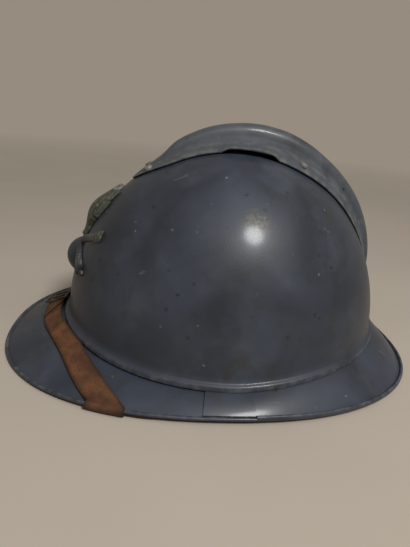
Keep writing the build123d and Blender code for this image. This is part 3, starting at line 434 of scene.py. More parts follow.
# The visor: the front half of the brim, stamped from thin sheet, with a collar that stands
# up inside the skull's bead and an edge folded under into a narrow hem.
brim_half_length = 0.1464
brim_half_width = 0.1075
brim_power = 2.28
brim_side_lift = 0.0029
collar_height = 0.0024
collar_gap = 0.00025
lap_gap = 0.0002
brim_drop = 0.0004
bend_radius = 0.001
brim_crown = 0.001
hem_width = 0.0024
visor_hem = 0.0022
visor_end_turn = 4.0
reach_halvings = 30
bend_steps, bow_steps, hem_steps = 6, 16, 12
hem_half_wrap = 130
slope_wear, lap_wear, hem_wear, hem_least_wear = 0.15, 0.6, 0.9, 0.2
visor_collar = bead_reach - 2 * sheet - collar_gap - lap_gap


def brim_reach(turn):
    """Distance from the skull's wall to the brim's edge along the wall's normal."""
    x, y = base_point(turn)
    east, north = heading(turn)
    near, far = 0.0, brim_half_length
    for _ in range(reach_halvings):
        middle = (near + far) / 2
        across = abs(x + middle * east) / brim_half_width
        along = abs(y + middle * north) / brim_half_length
        if across**brim_power + along**brim_power < 1:
            near = middle
        else:
            far = middle
    return near


def hem_low(turn):
    """Height of the brim's lower edge above the table."""
    along = (base_point(turn)[1] + brim_reach(turn) * sin(radians(turn))) / brim_half_length
    return brim_side_lift * max(1 - along * along, 0.0)


def out_from_foot(turn, out, height):
    """Point in the upright plane square to the skull's wall, over the bead's lower edge."""
    x, y = base_point(turn)
    east, north = heading(turn)
    return Vector((x + out * east, y + out * north, foot_height(turn) + height))


def bow(start, end, rise, count):
    """Points on a shallow arch between two points of a section."""
    run = []
    for step in range(1, count):
        share = step / count
        y = between(start[1], end[1], share) + 4 * rise * share * (1 - share)
        run.append((between(start[0], end[0], share), y))
    return run


def bend(centre, radius, first, last, count):
    """Points on a round bend of a section, its angles in degrees."""
    turns = [radians(between(first, last, step / count)) for step in range(count + 1)]
    return [(centre[0] + radius * cos(turn), centre[1] + radius * sin(turn)) for turn in turns]


def brim_outline(turn, collar, drop, hem, lapped):
    """Section of a brim sheet with the worn share of each point: collar, bend, slope and hem."""
    reach = brim_reach(turn)
    middle = hem_low(turn) - foot_height(turn) + hem / 2 + (sheet / 2 if lapped else 0.0)
    centre = (collar + bend_radius, bend_radius - drop)
    end = (reach - hem_width, middle + sheet / 2)
    under = (end[0], middle - sheet / 2)
    start = (centre[0], -drop)
    base = (start[0], start[1] - sheet)
    points = [(collar - sheet, collar_height, 0.0), (collar, collar_height, 0.0)]
    points += [(x, y, 0.0) for x, y in bend(centre, bend_radius, 180, 270, bend_steps)]
    points += [(x, y, 0.0) for x, y in bow(start, end, brim_crown, bow_steps)]
    points.append((*end, slope_wear))
    if lapped:
        points.append((*under, lap_wear))
    else:
        for step in range(hem_steps + 1):
            around = radians(hem_half_wrap - 2 * hem_half_wrap * step / hem_steps)
            x = reach - hem_width / 2 + hem_width / 2 * cos(around)
            wear = max(sin(around), 0.0) * hem_wear + hem_least_wear
            points.append((x, middle + hem / 2 * sin(around), wear))
        points.append((*under, 0.0))
    points += [(x, y, 0.0) for x, y in bow(under, base, brim_crown, bow_steps)]
    points += [(x, y, 0.0) for x, y in bend(centre, bend_radius + sheet, 270, 180, bend_steps)]
    return points


def brim_skin(name, first, last, collar, drop, hem, lapped=False):
    """Stretch of brim between two turns."""
    count = max(round((last - first) / brim_turn_step), 2)
    loops, wear = [], None
    for step in range(count + 1):
        turn = between(first, last, step / count)
        outline = brim_outline(turn, collar, drop, hem, lapped)
        loops.append([out_from_foot(turn, x, y) for x, y, _ in outline])
        wear = [share for _, _, share in outline]
    return skin(name, loops, wear=wear)


brim_turn_step = 2.0
visor_drop = brim_drop + sheet + lap_gap
visor = brim_skin(
    "visor_brim", -180 - visor_end_turn, visor_end_turn, visor_collar, visor_drop, visor_hem
)
put_on(visor, shell_paint, "shell_paint", "visor")

# The neck guard: the rear half of the brim, with its edge rolled into a thicker hem. Its two
# ends are cut back to single sheet and lapped over the visor's, where spot welds hold them.
guard_hem = 0.0036
lap_turn = -7.5
guard_collar = bead_reach - sheet - collar_gap
lap_hem = visor_hem + 2 * (sheet / 2 + lap_gap)
guard_parts = [
    brim_skin(name, first, last, guard_collar, brim_drop, hem, lapped)
    for name, first, last, hem, lapped in (
        ("guard_middle", visor_end_turn, 180 - visor_end_turn, guard_hem, False),
        ("guard_left_lap", lap_turn, visor_end_turn, lap_hem, True),
        ("guard_right_lap", 180 - visor_end_turn, 180 - lap_turn, lap_hem, True),
    )
]
neck_guard = joined("neck_guard_brim", *guard_parts)
put_on(neck_guard, shell_paint, "shell_paint", "neck_guard")

# The crest: one stamped strip over the crown, stepped up from its flanges to a rounded comb.
# Each flange is arched in the middle, so that air leaves through the slot under it.
crest_gap = 0.0004
vent_lift = 0.0026
vent_spread = 0.0015
crest_crease_x_share = 0.62
crest_crease_rise_share = 0.22
crest_step_x_share = 0.34
crest_step_rise_share = 0.49
crest_height = 0.0172
crest_half_width = 0.0212
crest_upper_shares = ((0.88, 0.52), (0.52, 0.90))
crest_shoulder = 0.0006
flange_share, crease_share, riser_share = 0.6, 0.95, 0.35
flange_swell, riser_swell = 0.7, 0.35
# Worn shares across the crest. The light line along the crease is partly worn paint and partly painted
# highlight.
rim_wear, crease_wear_and_highlight, riser_wear, comb_wear = 0.9, 0.6, 0.2, 0.12
inner_pinch = 0.6
comb_steps = 8
# Each station: degrees from the skull's front foot, then shares of half width, height and vent lift
crest_stations = (
    (52.0, 0.13, 0.07, 0),
    (55.5, 0.45, 0.11, 0),
    (60.0, 0.73, 0.15, 0),
    (64.5, 0.89, 0.25, 0),
    (70.0, 0.91, 0.52, 0),
    (76.0, 0.91, 0.68, 0),
    (80.5, 0.91, 0.78, 0),
    (83.0, 0.91, 0.82, 0),
    (85.5, 0.92, 0.86, 1),
    (89.0, 0.93, 0.90, 1),
    (93.0, 0.94, 0.95, 1),
    (97.0, 0.95, 0.98, 1),
    (100.5, 0.96, 0.99, 1),
    (103.0, 0.98, 1.00, 0),
    (106.0, 0.99, 1.00, 0),
    (112.0, 1.00, 0.97, 0),
    (119.0, 0.93, 0.91, 0),
    (127.0, 0.79, 0.86, 0),
    (136.0, 0.67, 0.78, 0),
    (145.0, 0.53, 0.62, 0),
    (153.0, 0.37, 0.43, 0),
    (159.0, 0.22, 0.24, 0),
    (163.0, 0.11, 0.09, 0),
)


def crest_place(turn, across, rise):
    """Point beside and above the skull's centre line, at a turn from its front foot."""
    ahead, up = heading(turn)
    y = skull_set_back - skull_half_length * ahead
    z = equator_height + crown_rise * up
    normal = Vector((0, -ahead / skull_half_length, up / crown_rise))
    return Vector((across, y, z)) + normal.normalized() * rise


def skull_fall(across):
    """How far the skull's surface falls away beside its centre line."""
    return skull_half_width * (1 - sqrt(1 - (across / skull_half_width) ** 2))


def crest_shape(turn):
    """Half width, height and vent lift of the crest, eased between the listed stations."""
    rows = crest_stations
    here = max(row for row in range(len(rows) - 1) if rows[row][0] <= turn)
    near = [rows[min(max(here + step, 0), len(rows) - 1)] for step in (-1, 0, 1, 2)]
    gap = near[2][0] - near[1][0]
    share = (turn - near[1][0]) / gap
    width, rise = (
        eased(
            near[1][column],
            near[2][column],
            (near[2][column] - near[0][column]) / (near[2][0] - near[0][0]) * gap,
            (near[3][column] - near[1][column]) / (near[3][0] - near[1][0]) * gap,
            share,
        )
        for column in (1, 2)
    )
    return crest_half_width * width, crest_height * rise, between(near[1][3], near[2][3], share)


def crest_loop(turn):
    """Closed section of the crest's sheet with the worn share of each point."""
    half_width, height, lift = crest_shape(turn)
    edge_x = half_width + vent_spread * lift
    edge = crest_gap + sheet + vent_lift * lift
    crease_x = half_width * crest_crease_x_share
    crease = crest_gap + sheet + (height - crest_gap - sheet) * crest_crease_rise_share
    step_x = half_width * crest_step_x_share
    step = crest_gap + sheet + (height - crest_gap - sheet) * crest_step_rise_share
    edge_low = edge - skull_fall(edge_x)
    crease_low = crease - skull_fall(crease_x)
    shoulder = crest_shoulder * height / crest_height
    side = [
        (edge_x, edge_low, rim_wear),
        (
            between(edge_x, crease_x, flange_share),
            between(edge_low, crease_low, flange_share) + shoulder * flange_swell,
            0.0,
        ),
        (between(edge_x, crease_x, crease_share), crease_low + shoulder, crease_wear_and_highlight),
        (
            between(crease_x, step_x, riser_share),
            between(crease_low, step, riser_share) + shoulder * riser_swell,
            riser_wear,
        ),
        (step_x, step, 0.0),
    ]
    comb = curve_through(
        [(step_x, step, 0)]
        + [(step_x * x, step + (height - step) * y, 0) for x, y in crest_upper_shares]
        + [(0, height, 0)],
        comb_steps,
    )
    half = side + [(point.x, point.y, comb_wear) for point in comb[1:]]
    outer = half + [(-x, y, share) for x, y, share in reversed(half[:-1])]
    inner = [
        (x - copysign(min(sheet * inner_pinch, abs(x) / 2), x), y - sheet, 0.0) for x, y, _ in outer
    ]
    loop = outer + inner[::-1]
    return [crest_place(turn, x, y) for x, y, _ in loop], [share for _, _, share in loop]


crest_turn_step = 1.0
crest_first, crest_last = crest_stations[0][0], crest_stations[-1][0]
crest_count = int((crest_last - crest_first) / crest_turn_step) + 1
crest_rows = [crest_loop(crest_first + crest_turn_step * step) for step in range(crest_count)]
# The crest's paint is the shell's paint made lighter as painted highlight, with its worn edges laid on more
# strongly: partly worn paint, partly painted highlight.
crest_paint_with_painted_highlight = helmet_paint("crest_paint_with_painted_highlight", srgb(74, 78, 84), srgb(50, 54, 57), srgb(92, 94, 92), 0.6)
crest = skin("crest_comb", [row[0] for row in crest_rows], wear=crest_rows[0][1])
put_on(crest, crest_paint_with_painted_highlight, "shell_paint", "crest")

# The crest's rivets: four soft iron rivets with domed heads, in a pale worn paint all over.
def repaint(node, finish):
    """Gives a CAD node, which keeps its shape, its finish."""
    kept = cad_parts[node]
    kept.data.materials.clear()
    kept.data.materials.append(finish)
    return kept


rivet_paint = helmet_paint("rivet_paint", srgb(126, 123, 115), srgb(70, 69, 65), srgb(184, 180, 168), 0.0)
repaint("crest_rivets", rivet_paint)

# The badge: a flaming grenade over crossed cannon barrels, stamped in thin sheet and painted
# with the helmet. The flame's strands are raised, and its high places are rubbed pale.
flame_foot = 0.080
flame_blend = 0.004
badge_paint, shader, place = new_finish("badge_paint", 0.42, Specular_IOR_Level=0.35)
tree = place.id_data
strand = shader_node(
    tree,
    "TexWave",
    {"bands_direction": "X", "wave_profile": "SIN"},
    {"Vector": place, "Scale": 95.0, "Distortion": 7.0, "Detail": 2.0, "Detail Scale": 1.4},
).outputs["Fac"]
low_place = cloud(place, 90.0, 0.38, 0.62, detail=7.0)
height = shader_node(tree, "SeparateXYZ", {}, {"Vector": place}).outputs["Z"]
in_flame = ranged(height, flame_foot - flame_blend, flame_foot)
strand = times(in_flame, strand)
bomb_colour = tint(low_place, srgb(34, 37, 40), srgb(54, 58, 64))
flame_colour = tint(low_place, srgb(46, 49, 42), srgb(74, 77, 68))
colour = tint(in_flame, bomb_colour, flame_colour)
colour = laid(colour, strand, 0.3, srgb(104, 105, 92))
chafe = cloud(place, 260.0, 0.60, 0.68, detail=7.0)
colour = laid(colour, chafe, 0.5, srgb(134, 130, 106))
patina = cloud(place, 70.0, 0.55, 0.68, detail=6.0)
colour = laid(colour, patina, 0.6, srgb(74, 78, 60))
coloured(shader, colour)
bumped(shader, strand, 0.0006, 0.6)
repaint("badge", badge_paint)

# The chin strap: reddish-brown leather, twelve to fifteen millimetres wide, that lies over the
# visor, doubled at the front, folds round its edge and is sewn round the rings. Its cut edges
# are dark.
strap_leather = 0.0015
strap_front_gap = 0.0014
strap_gap = 0.00035
fold_gap = 0.0003
fold_first_turn = -33.0
fold_last_turn = -24.0
buckle_span = 15.0
ring_turn = -16.0
ring_level = 0.020
ring_wire = 0.0011
ring_length = 0.0133
ring_out = 0.0028
loop_fit = 0.00045
loop_slack = 0.0028
loop_start = 0.003
loop_length = 0.008
loop_width = 0.0148
loop_crest_near, loop_crest_far = 0.0046, 0.0052
loop_seat, loop_spread = 0.00006, 0.0001
ply_gap = 0.00005
hem_climb = 0.007
turn_halvings = 34
fold_steps, loop_steps, under_steps = 10, 12, 22
edge_draw_steps, strap_steps, doubled_steps = 44, 36, 30
round_angle = 40
strap_rounding = 0.00035
# Edges of the strap on the visor, then under it, as shares of the brim's half width and half length
strap_inner_shares = (
    (0.0, -0.752),
    (0.101, -0.745),
    (0.199, -0.725),
    (0.353, -0.662),
    (0.473, -0.605),
    (0.641, -0.534),
    (0.782, -0.466),
    (0.878, -0.411),
)
strap_outer_shares = (
    (0.0, -0.829),
    (0.121, -0.822),
    (0.238, -0.798),
    (0.377, -0.747),
    (0.513, -0.691),
    (0.662, -0.634),
    (0.780, -0.583),
)
under_inner_shares = ((0.823, -0.424), (0.807, -0.328), (0.810, -0.260))
under_outer_shares = ((0.960, -0.301), (0.961, -0.225), (0.935, -0.167), (0.889, -0.150), (0.848, -0.161))


def brim_plan(shares):
    """Points in plan from shares of the brim's half width and half length."""
    return [(brim_half_width * x, brim_half_length * y, 0) for x, y in shares]


def fold_middle(turn):
    """Distance from the wall to the middle of the visor's hem."""
    return brim_reach(turn) - hem_width / 2


def rim_plan(turn):
    """Point in plan on the middle of the visor's hem."""
    x, y = base_point(turn)
    east, north = heading(turn)
    return x + fold_middle(turn) * east, y + fold_middle(turn) * north, 0


def hem_middle(turn):
    """Height of the middle of the visor's hem over the bead's lower edge."""
    return hem_low(turn) - foot_height(turn) + visor_hem / 2


def visor_top(turn, out):
    """Height of the visor's upper face over the bead's lower edge."""
    start = (visor_collar + bend_radius, -visor_drop)
    end = (brim_reach(turn) - hem_width, hem_middle(turn) + sheet / 2)
    share = (out - start[0]) / (end[0] - start[0])
    return between(start[1], end[1], share) + 4 * brim_crown * share * (1 - share)


def turn_at(x, y):
    """Turn of the wall's normal through a point in front of the skull, and how far out it is."""
    low, high = -180.0, 0.0
    for _ in range(turn_halvings):
        middle = (low + high) / 2
        foot_x, foot_y = base_point(middle)
        east, north = heading(middle)
        if (x - foot_x) * north - (y - foot_y) * east < 0:
            low = middle
        else:
            high = middle
    foot_x, foot_y = base_point(low)
    east, north = heading(low)
    return low, (x - foot_x) * east + (y - foot_y) * north


def strap_rise(turn):
    """Gap under the strap: wide at the front for the buckle's foot, narrow at the sides."""
    share = (abs(turn + 90) - buckle_span) / buckle_span
    return between(strap_front_gap, strap_gap, min(max(share, 0.0), 1.0))


def strap_over_point(x, y, lift):
    """Point over the visor at a lift above the strap's underside, which climbs onto the hem."""
    turn, out = turn_at(x, y)
    height = visor_top(turn, min(out, brim_reach(turn) - hem_width)) + strap_rise(turn)
    share = min(max((out - fold_middle(turn) + hem_climb) / hem_climb, 0.0), 1.0)
    share = share * share * (3 - 2 * share)
    height += (hem_middle(turn) + visor_hem / 2 + fold_gap - height) * share
    return out_from_foot(turn, out, height + lift)


def strap_edge(shares, corner):
    """Edge of the strap in plan, from the front middle to its corner on the visor's hem."""
    mirrored = brim_plan([(-x, y) for x, y in shares[2:0:-1]])
    whole = curve_through(mirrored + brim_plan(shares) + [corner], edge_draw_steps)
    half = curve_through([point for point in whole if point.x > middle_clear], strap_steps)
    return [Vector((0, brim_half_length * shares[0][1], 0))] + half


middle_clear = 0.0001
strap_columns = (0.0, 0.05, 0.13, 0.3, 0.5, 0.7, 0.87, 0.95, 1.0)
inner_edge = strap_edge(strap_inner_shares, rim_plan(fold_last_turn))
outer_edge = strap_edge(strap_outer_shares, rim_plan(fold_first_turn))
under_last = curve_through([rim_plan(fold_last_turn)] + brim_plan(under_outer_shares), under_steps)
under_first = curve_through([rim_plan(fold_first_turn)] + brim_plan(under_inner_shares), under_steps)
loop_level = ring_level - sqrt(ring_length**2 - ring_out**2)


def under_face(turn, out):
    """Height above the table of the leather's upper face under the brim."""
    outer = foot_height(turn) + hem_middle(turn) - visor_hem / 2 - fold_gap
    inner = loop_level - ring_wire - loop_fit
    share = (out - loop_start) / (fold_middle(turn) - loop_start)
    return between(inner, outer, share)


def strap_spots(column):
    """Spots in plan along one column of the strap's half over the visor."""
    return [near.lerp(far, column) for near, far in zip(inner_edge[:-1], outer_edge[:-1])]


def strap_half(column, leather):
    """Run of point pairs down one column of the strap, from the front middle to its sewn end."""
    pairs = []
    for spot in strap_spots(column):
        pairs.append((strap_over_point(spot.x, spot.y, 0), strap_over_point(spot.x, spot.y, leather)))
    turn = between(fold_last_turn, fold_first_turn, column)
    inside = visor_hem / 2 + fold_gap
    for step in range(fold_steps + 1):
        around = radians(90 - 180 / fold_steps * step)
        pair = []
        for radius in (inside, inside + leather):
            out = fold_middle(turn) + radius * cos(around)
            pair.append(out_from_foot(turn, out, hem_middle(turn) + radius * sin(around)))
        pairs.append(tuple(pair))
    for last, first in list(zip(under_last, under_first))[2:-1]:
        spot = last.lerp(first, column)
        turn, out = turn_at(spot.x, spot.y)
        spot.z = under_face(turn, out)
        pairs.append((spot, spot - Vector((0, 0, leather))))
    return pairs + loop_pairs(column, leather)


def loop_pairs(column, leather):
    """The strap's end, turned round the ring's lower bar and back over itself."""
    inside = ring_wire + loop_fit
    low = loop_level - inside
    profile = [((out, low), (out, low - leather)) for out in (loop_start, 0.0)]
    for step in range(loop_steps + 1):
        around = radians(-90 - 180 / loop_steps * step)
        spots = [
            (-loop_slack + radius * cos(around), loop_level + radius * sin(around))
            for radius in (inside, inside + leather)
        ]
        profile.append(tuple(spots))
    crest = under_face(ring_turn, loop_crest_near) + loop_seat
    end = under_face(ring_turn, loop_length) + loop_seat
    profile.append(((0.0, loop_level + inside), (0.0, loop_level + inside + leather)))
    profile.append(((loop_crest_near, crest), (loop_crest_far, crest + leather + loop_spread)))
    profile.append(((loop_length, end), (loop_length, end + leather)))
    x, y = base_point(ring_turn)
    outwards = Vector((*heading(ring_turn), 0))
    sideways = Vector((-outwards.y, outwards.x, 0)) * (0.5 - column) * loop_width
    return [
        tuple(Vector((x, y, 0)) + outwards * out + sideways + Vector((0, 0, level)) for out, level in pair)
        for pair in profile
    ]


def strip_loop(columns, row):
    """Closed section of a leather strip at a row of its columns of point pairs."""
    return [column[row][1] for column in columns] + [column[row][0] for column in reversed(columns)]


def soft_edges(piece, width):
    """Rounds a piece's sharp edges a little, as handling does."""
    rounding = piece.modifiers.new("rounding", "BEVEL")
    rounding.width = width
    rounding.segments = 2
    rounding.limit_method = "ANGLE"
    rounding.angle_limit = radians(round_angle)


def old_leather(name, base, dark, edge_colour, grain_scale, roughness):
    """Old leather: uneven colour, fine grain, cracks across it and dark edges."""
    finish, shader, place = new_finish(name, roughness, Specular_IOR_Level=0.3)
    tree = place.id_data
    drift = cloud(place, 70.0, 0.36, 0.66, detail=8.0, warp=0.6)
    colour = tint(drift, dark, base)
    flush = cloud(place, 95.0, 0.50, 0.66, detail=6.0)
    colour = laid(colour, flush, 0.4, srgb(122, 66, 48))
    blot = cloud(place, 150.0, 0.55, 0.70, detail=6.0)
    colour = laid(colour, blot, 0.35, edge_colour)
    sockets = {"Vector": place, "Scale": grain_scale}
    cells = shader_node(tree, "TexVoronoi", {"feature": "DISTANCE_TO_EDGE"}, sockets)
    crack = ranged(cells.outputs["Distance"], 0.0, 0.08, 0.45, 1.0)
    colour = tint(crack, edge_colour, colour)
    rim = shader_node(tree, "Attribute", {"attribute_name": "worn"}, {}).outputs["Fac"]
    colour = laid(colour, rim, 0.85, edge_colour)
    coloured(shader, colour)
    fine = cloud(place, grain_scale * 2.2, 0.3, 0.7, detail=4.0)
    height = shader_node(tree, "Math", {"operation": "ADD"}, {0: crack, 1: fine}).outputs[0]
    bumped(shader, height, 0.00012, 0.7)
    return finish


strap_finish = old_leather(
    "strap_leather", srgb(104, 68, 40), srgb(70, 45, 28), srgb(34, 25, 18), 700.0, 0.65
)
edge_wear = [1.0, 0.7, 0.15, 0.0, 0.0, 0.0, 0.15, 0.7, 1.0]
half_columns = [strap_half(column, strap_leather) for column in strap_columns]
half_rows = len(half_columns[0])
strap_loops = [
    [Vector((point.x * side, point.y, point.z)) for point in strip_loop(half_columns, row)]
    for side, rows in ((-1, range(half_rows - 1, 0, -1)), (1, range(half_rows)))
    for row in rows
]
chin_strap = skin("chin_strap_leather", strap_loops, wear=edge_wear * 2)
soft_edges(chin_strap, strap_rounding)
strap_start = -0.050
strap_end_inner, strap_end_outer = -0.003, 0.0166
doubled_lift = strap_leather + ply_gap


def doubled_column(column):
    """Point pairs down one column of the doubled leather, which ends on a slant."""
    half = strap_spots(column)
    spots = [Vector((-spot.x, spot.y, 0)) for spot in half[:0:-1]] + half
    last = between(strap_end_inner, strap_end_outer, column)
    pairs = []
    for step in range(doubled_steps + 1):
        x = between(strap_start, last, step / doubled_steps)
        here = max(number for number in range(len(spots) - 1) if spots[number].x <= x)
        share = (x - spots[here].x) / (spots[here + 1].x - spots[here].x)
        spot = spots[here].lerp(spots[here + 1], share)
        lifts = (doubled_lift, doubled_lift + strap_leather)
        pairs.append(tuple(strap_over_point(spot.x, spot.y, lift) for lift in lifts))
    return pairs


doubled_columns = [doubled_column(column) for column in strap_columns]
doubled_loops = [strip_loop(doubled_columns, row) for row in range(doubled_steps + 1)]
strap_double = skin("chin_strap_doubled", doubled_loops, wear=edge_wear * 2)
soft_edges(strap_double, strap_rounding)
put_on(chin_strap, strap_finish, "strap_leather", "chin_strap")
put_on(strap_double, strap_finish, "strap_leather")

# The steel fittings: the strap's sliding buckle, the swinging wire rings, the lugs that hold
# them, the badge's prongs and the tabs over the liner. All are plain steel gone brown.
def old_steel(name, bright, brown, roughness):
    """Bare steel that has gone dull and brown, with rust in patches."""
    finish, shader, place = new_finish(name, roughness, 0.75)
    drift = cloud(place, 160.0, 0.38, 0.64, detail=7.0)
    colour = tint(drift, brown, bright)
    rust = cloud(place, 260.0, 0.60, 0.70, detail=8.0)
    colour = laid(colour, rust, 0.8, srgb(70, 42, 26))
    coloured(shader, colour)
    bumped(shader, cloud(place, 1400.0, 0.3, 0.7), 0.00008, 0.5)
    return finish


fitting_steel = old_steel("fitting_steel", srgb(104, 98, 88), srgb(62, 54, 46), 0.5)
fitting_nodes = ["strap_buckle", "strap_ring_left", "strap_ring_right", "strap_lug_left", "strap_lug_right"]
fitting_nodes += ["badge_prongs"] + [f"liner_tab_{number}" for number in range(1, 5)]
fitting_rounding = 0.00015
for node in fitting_nodes:
    fitting = repaint(node, fitting_steel)
    if "ring" not in node:
        soft_edges(fitting, fitting_rounding)

# The liner's spacers: corrugated strips of thin aluminium that keep the liner off the shell
# and let air rise between them.
spacer_metal, shader, place = new_finish("spacer_aluminium", 0.42, 0.9)
dull = cloud(place, 120.0, 0.35, 0.65, detail=7.0)
coloured(shader, tint(dull, srgb(132, 131, 127), srgb(188, 187, 182)))
bumped(shader, cloud(place, 700.0, 0.3, 0.7, stretch=(1.0, 1.0, 0.1)), 0.00006, 0.5)
for side in ("front", "rear", "left", "right"):
    repaint(f"liner_spacer_{side}", spacer_metal)

# The liner's felt: a band of grey wool felt, cut straight, between the spacers and the leather.
felt_inset = 0.0062
felt_thickness = 0.002
felt_low, felt_high = 0.026, 0.0579
band_steps = 144
band_shares = (0.0, 0.04, 0.15, 0.3, 0.5, 0.7, 0.85, 0.96, 1.0)
edge_tuck = 0.25
lower_wave_share, lower_wave_start = 0.6, 40


def band_point(turn, level, inset):
    """Point on an oval a level inset inside the skull, by its angle round the oval."""
    east, north = heading(turn)
    scale = skull_scale(level)
    x = (skull_half_width * scale - inset) * east
    y = (skull_half_length * scale - inset) * north + skull_set_back
    return Vector((x, y, level))


def band_skin(name, inset, thickness, low, high, wave, wave_count):
    """Soft band round the inside of the skull: a rounded strip with a slightly wavy edge."""
    loops = []
    for step in range(band_steps):
        turn = 360 * step / band_steps
        lower_turn = turn * wave_count * lower_wave_share + lower_wave_start
        top = high - wave * (0.5 + 0.5 * sin(radians(turn * wave_count)))
        bottom = low + wave * (0.5 + 0.5 * sin(radians(lower_turn)))
        outer, inner = [], []
        for share in band_shares:
            level = between(bottom, top, share)
            tuck = thickness * edge_tuck if share in (0.0, 1.0) else 0.0
            outer.append(band_point(turn, level, inset + tuck))
            inner.append(band_point(turn, level, inset + thickness - tuck))
        loops.append(outer + inner[::-1])
    return skin(name, loops, around=True)


felt_finish, shader, place = new_finish("liner_felt", 0.95, Sheen_Weight=0.25)
mottle = cloud(place, 260.0, 0.35, 0.65, detail=8.0)
colour = tint(mottle, srgb(58, 58, 62), srgb(98, 98, 102))
fibre = cloud(place, 1500.0, 0.35, 0.65, detail=6.0, warp=2.0)
colour = laid(colour, fibre, 0.5, srgb(128, 126, 124))
coloured(shader, colour)
bumped(shader, fibre, 0.0004, 0.8)
felt = band_skin("liner_felt_band", felt_inset, felt_thickness, felt_low, felt_high, 0.0008, 5)
put_on(felt, felt_finish, "felt", "liner_felt")

# The sweatband: one strip of dark sheepskin leather round the head, sewn near its lower edge
# through the felt with waxed thread.
sweat_inset = 0.009
sweat_leather = 0.0012
sweat_low, sweat_high = 0.024, 0.0575
stitch_radius = 0.0003
liner_leather = old_leather(
    "liner_leather", srgb(86, 56, 36), srgb(58, 38, 25), srgb(36, 26, 18), 1100.0, 0.7
)
sweatband = band_skin(
    "liner_sweatband_leather", sweat_inset, sweat_leather, sweat_low, sweat_high, 0.0006, 3
)
put_on(sweatband, liner_leather, "liner_leather", "liner_sweatband")


def tube(name, points, radius, sides=8, closed=False):
    """Round cord or wire along a run of points."""
    spots = [Vector(point) for point in points]
    loops = []
    side = None
    for place, spot in enumerate(spots):
        before = spots[place - 1] if closed or place else spot
        after = spots[(place + 1) % len(spots)] if closed or place + 1 < len(spots) else spot
        along = (after - before).normalized()
        if side is None:
            side = along.orthogonal().normalized()
        side = (side - along * side.dot(along)).normalized()
        other = along.cross(side)
        turns = [2 * pi * step / sides for step in range(sides)]
        loops.append([spot + (side * cos(turn) + other * sin(turn)) * radius for turn in turns])
    return skin(name, loops, around=closed)


def thread_finish(name, light, dark):
    """Twisted thread or lace, with its lay showing as a fine slanting ridge."""
    finish, shader, place = new_finish(name, 0.85)
    tree = place.id_data
    lay = shader_node(
        tree, "TexWave", {"bands_direction": "DIAGONAL"}, {"Vector": place, "Scale": 700.0}
    ).outputs["Fac"]
    dirt = cloud(place, 180.0, 0.4, 0.7)
    colour = tint(dirt, light, dark)
    coloured(shader, tint(times(lay, 0.35), colour, dark))
    bumped(shader, lay, 0.0003, 0.8)
    return finish


lace_cotton = thread_finish("lace_cotton", srgb(176, 160, 128), srgb(112, 98, 74))
stitch_count = 110
stitch_share = 0.62
stitch_level = sweat_low + 0.004
stitch_inset = sweat_inset + sweat_leather
stitch_sink = 0.0002
stitches = []
for number in range(stitch_count):
    first = 360 * number / stitch_count
    last = first + 360 / stitch_count * stitch_share
    points = [
        band_point(first, stitch_level, stitch_inset - stitch_sink),
        band_point((first + last) / 2, stitch_level, stitch_inset + stitch_sink),
        band_point(last, stitch_level, stitch_inset - stitch_sink),
    ]
    stitches.append(tube(f"stitch_{number}", points, stitch_radius, 6))
sweat_stitches = joined("liner_sweatband_stitches", *stitches)
put_on(sweat_stitches, lace_cotton, "cotton")

# The seven tongues: leather cut in points, sewn to the sweatband, that rise over the head and
# are gathered at their tips by a lace through two holes in each.
tongue_leather = 0.0011
tongue_width = 0.072
tongue_half_width = 0.0828
tongue_half_length = 0.1041
tongue_rise = 0.098
tongue_angles = (-90.0, -35.5, 11.6, 61.5, 118.5, 168.4, 215.5)
# Each station of a tongue: degrees up the head's curve, then share of its width at the base
tongue_stations = (
    (22.9, 1.0),
    (30.0, 0.94),
    (38.0, 0.83),
    (45.0, 0.72),
    (52.0, 0.58),
    (58.5, 0.43),
    (65.0, 0.27),
)
tongue_steps = 24
tongue_shares = (-1, -0.96, -0.85, -0.6, -0.3, 0, 0.3, 0.6, 0.85, 0.96, 1)
tongue_wear = [1.0, 0.8, 0.2, 0, 0, 0, 0, 0, 0.2, 0.8, 1.0]
climb_ahead = 0.5


def head_point(angle, climb):
    """Point on the tongues' outer faces: angle round the head, climb up its curve."""
    east, north = heading(angle)
    level, rise = heading(climb)
    x = tongue_half_width * level * east
    y = tongue_half_length * level * north + skull_set_back
    return Vector((x, y, equator_height + tongue_rise * rise))


def tongue_skin(name, angle):
    """One tongue: a curved leather point with rounded edges."""
    shares = curve_through([(climb, share, 0) for climb, share in tongue_stations], tongue_steps)
    loops = []
    for station in shares:
        climb, width_share = station.x, station.y
        here = head_point(angle, climb)
        up = (head_point(angle, climb + climb_ahead) - here).normalized()
        side = Vector((0, 0, 1)).cross(up).normalized()
        inward = up.cross(side).normalized()
        if inward.dot(here - Vector((0, skull_set_back, equator_height))) > 0:
            inward = -inward
        along = tongue_half_length * cos(radians(angle))
        curve = hypot(tongue_half_width * sin(radians(angle)), along) ** 3
        curve *= cos(radians(climb)) / tongue_half_width / tongue_half_length
        half = tongue_width * width_share / 2
        outer, inner = [], []
        for share in tongue_shares:
            sag = (half * share) ** 2 / 2 / curve
            spot = here + side * (half * share) + inward * sag
            pinch = tongue_leather * (edge_tuck if abs(share) == 1 else 0.0)
            outer.append(spot + inward * pinch)
            inner.append(spot + inward * (tongue_leather - pinch))
        loops.append(outer + inner[::-1])
    return skin(name, loops, wear=tongue_wear * 2)


for number, angle in enumerate(tongue_angles):
    tongue = tongue_skin(f"liner_tongue_leather_{number + 1}", angle)
    put_on(tongue, liner_leather, "liner_leather", f"liner_tongue_{number + 1}")

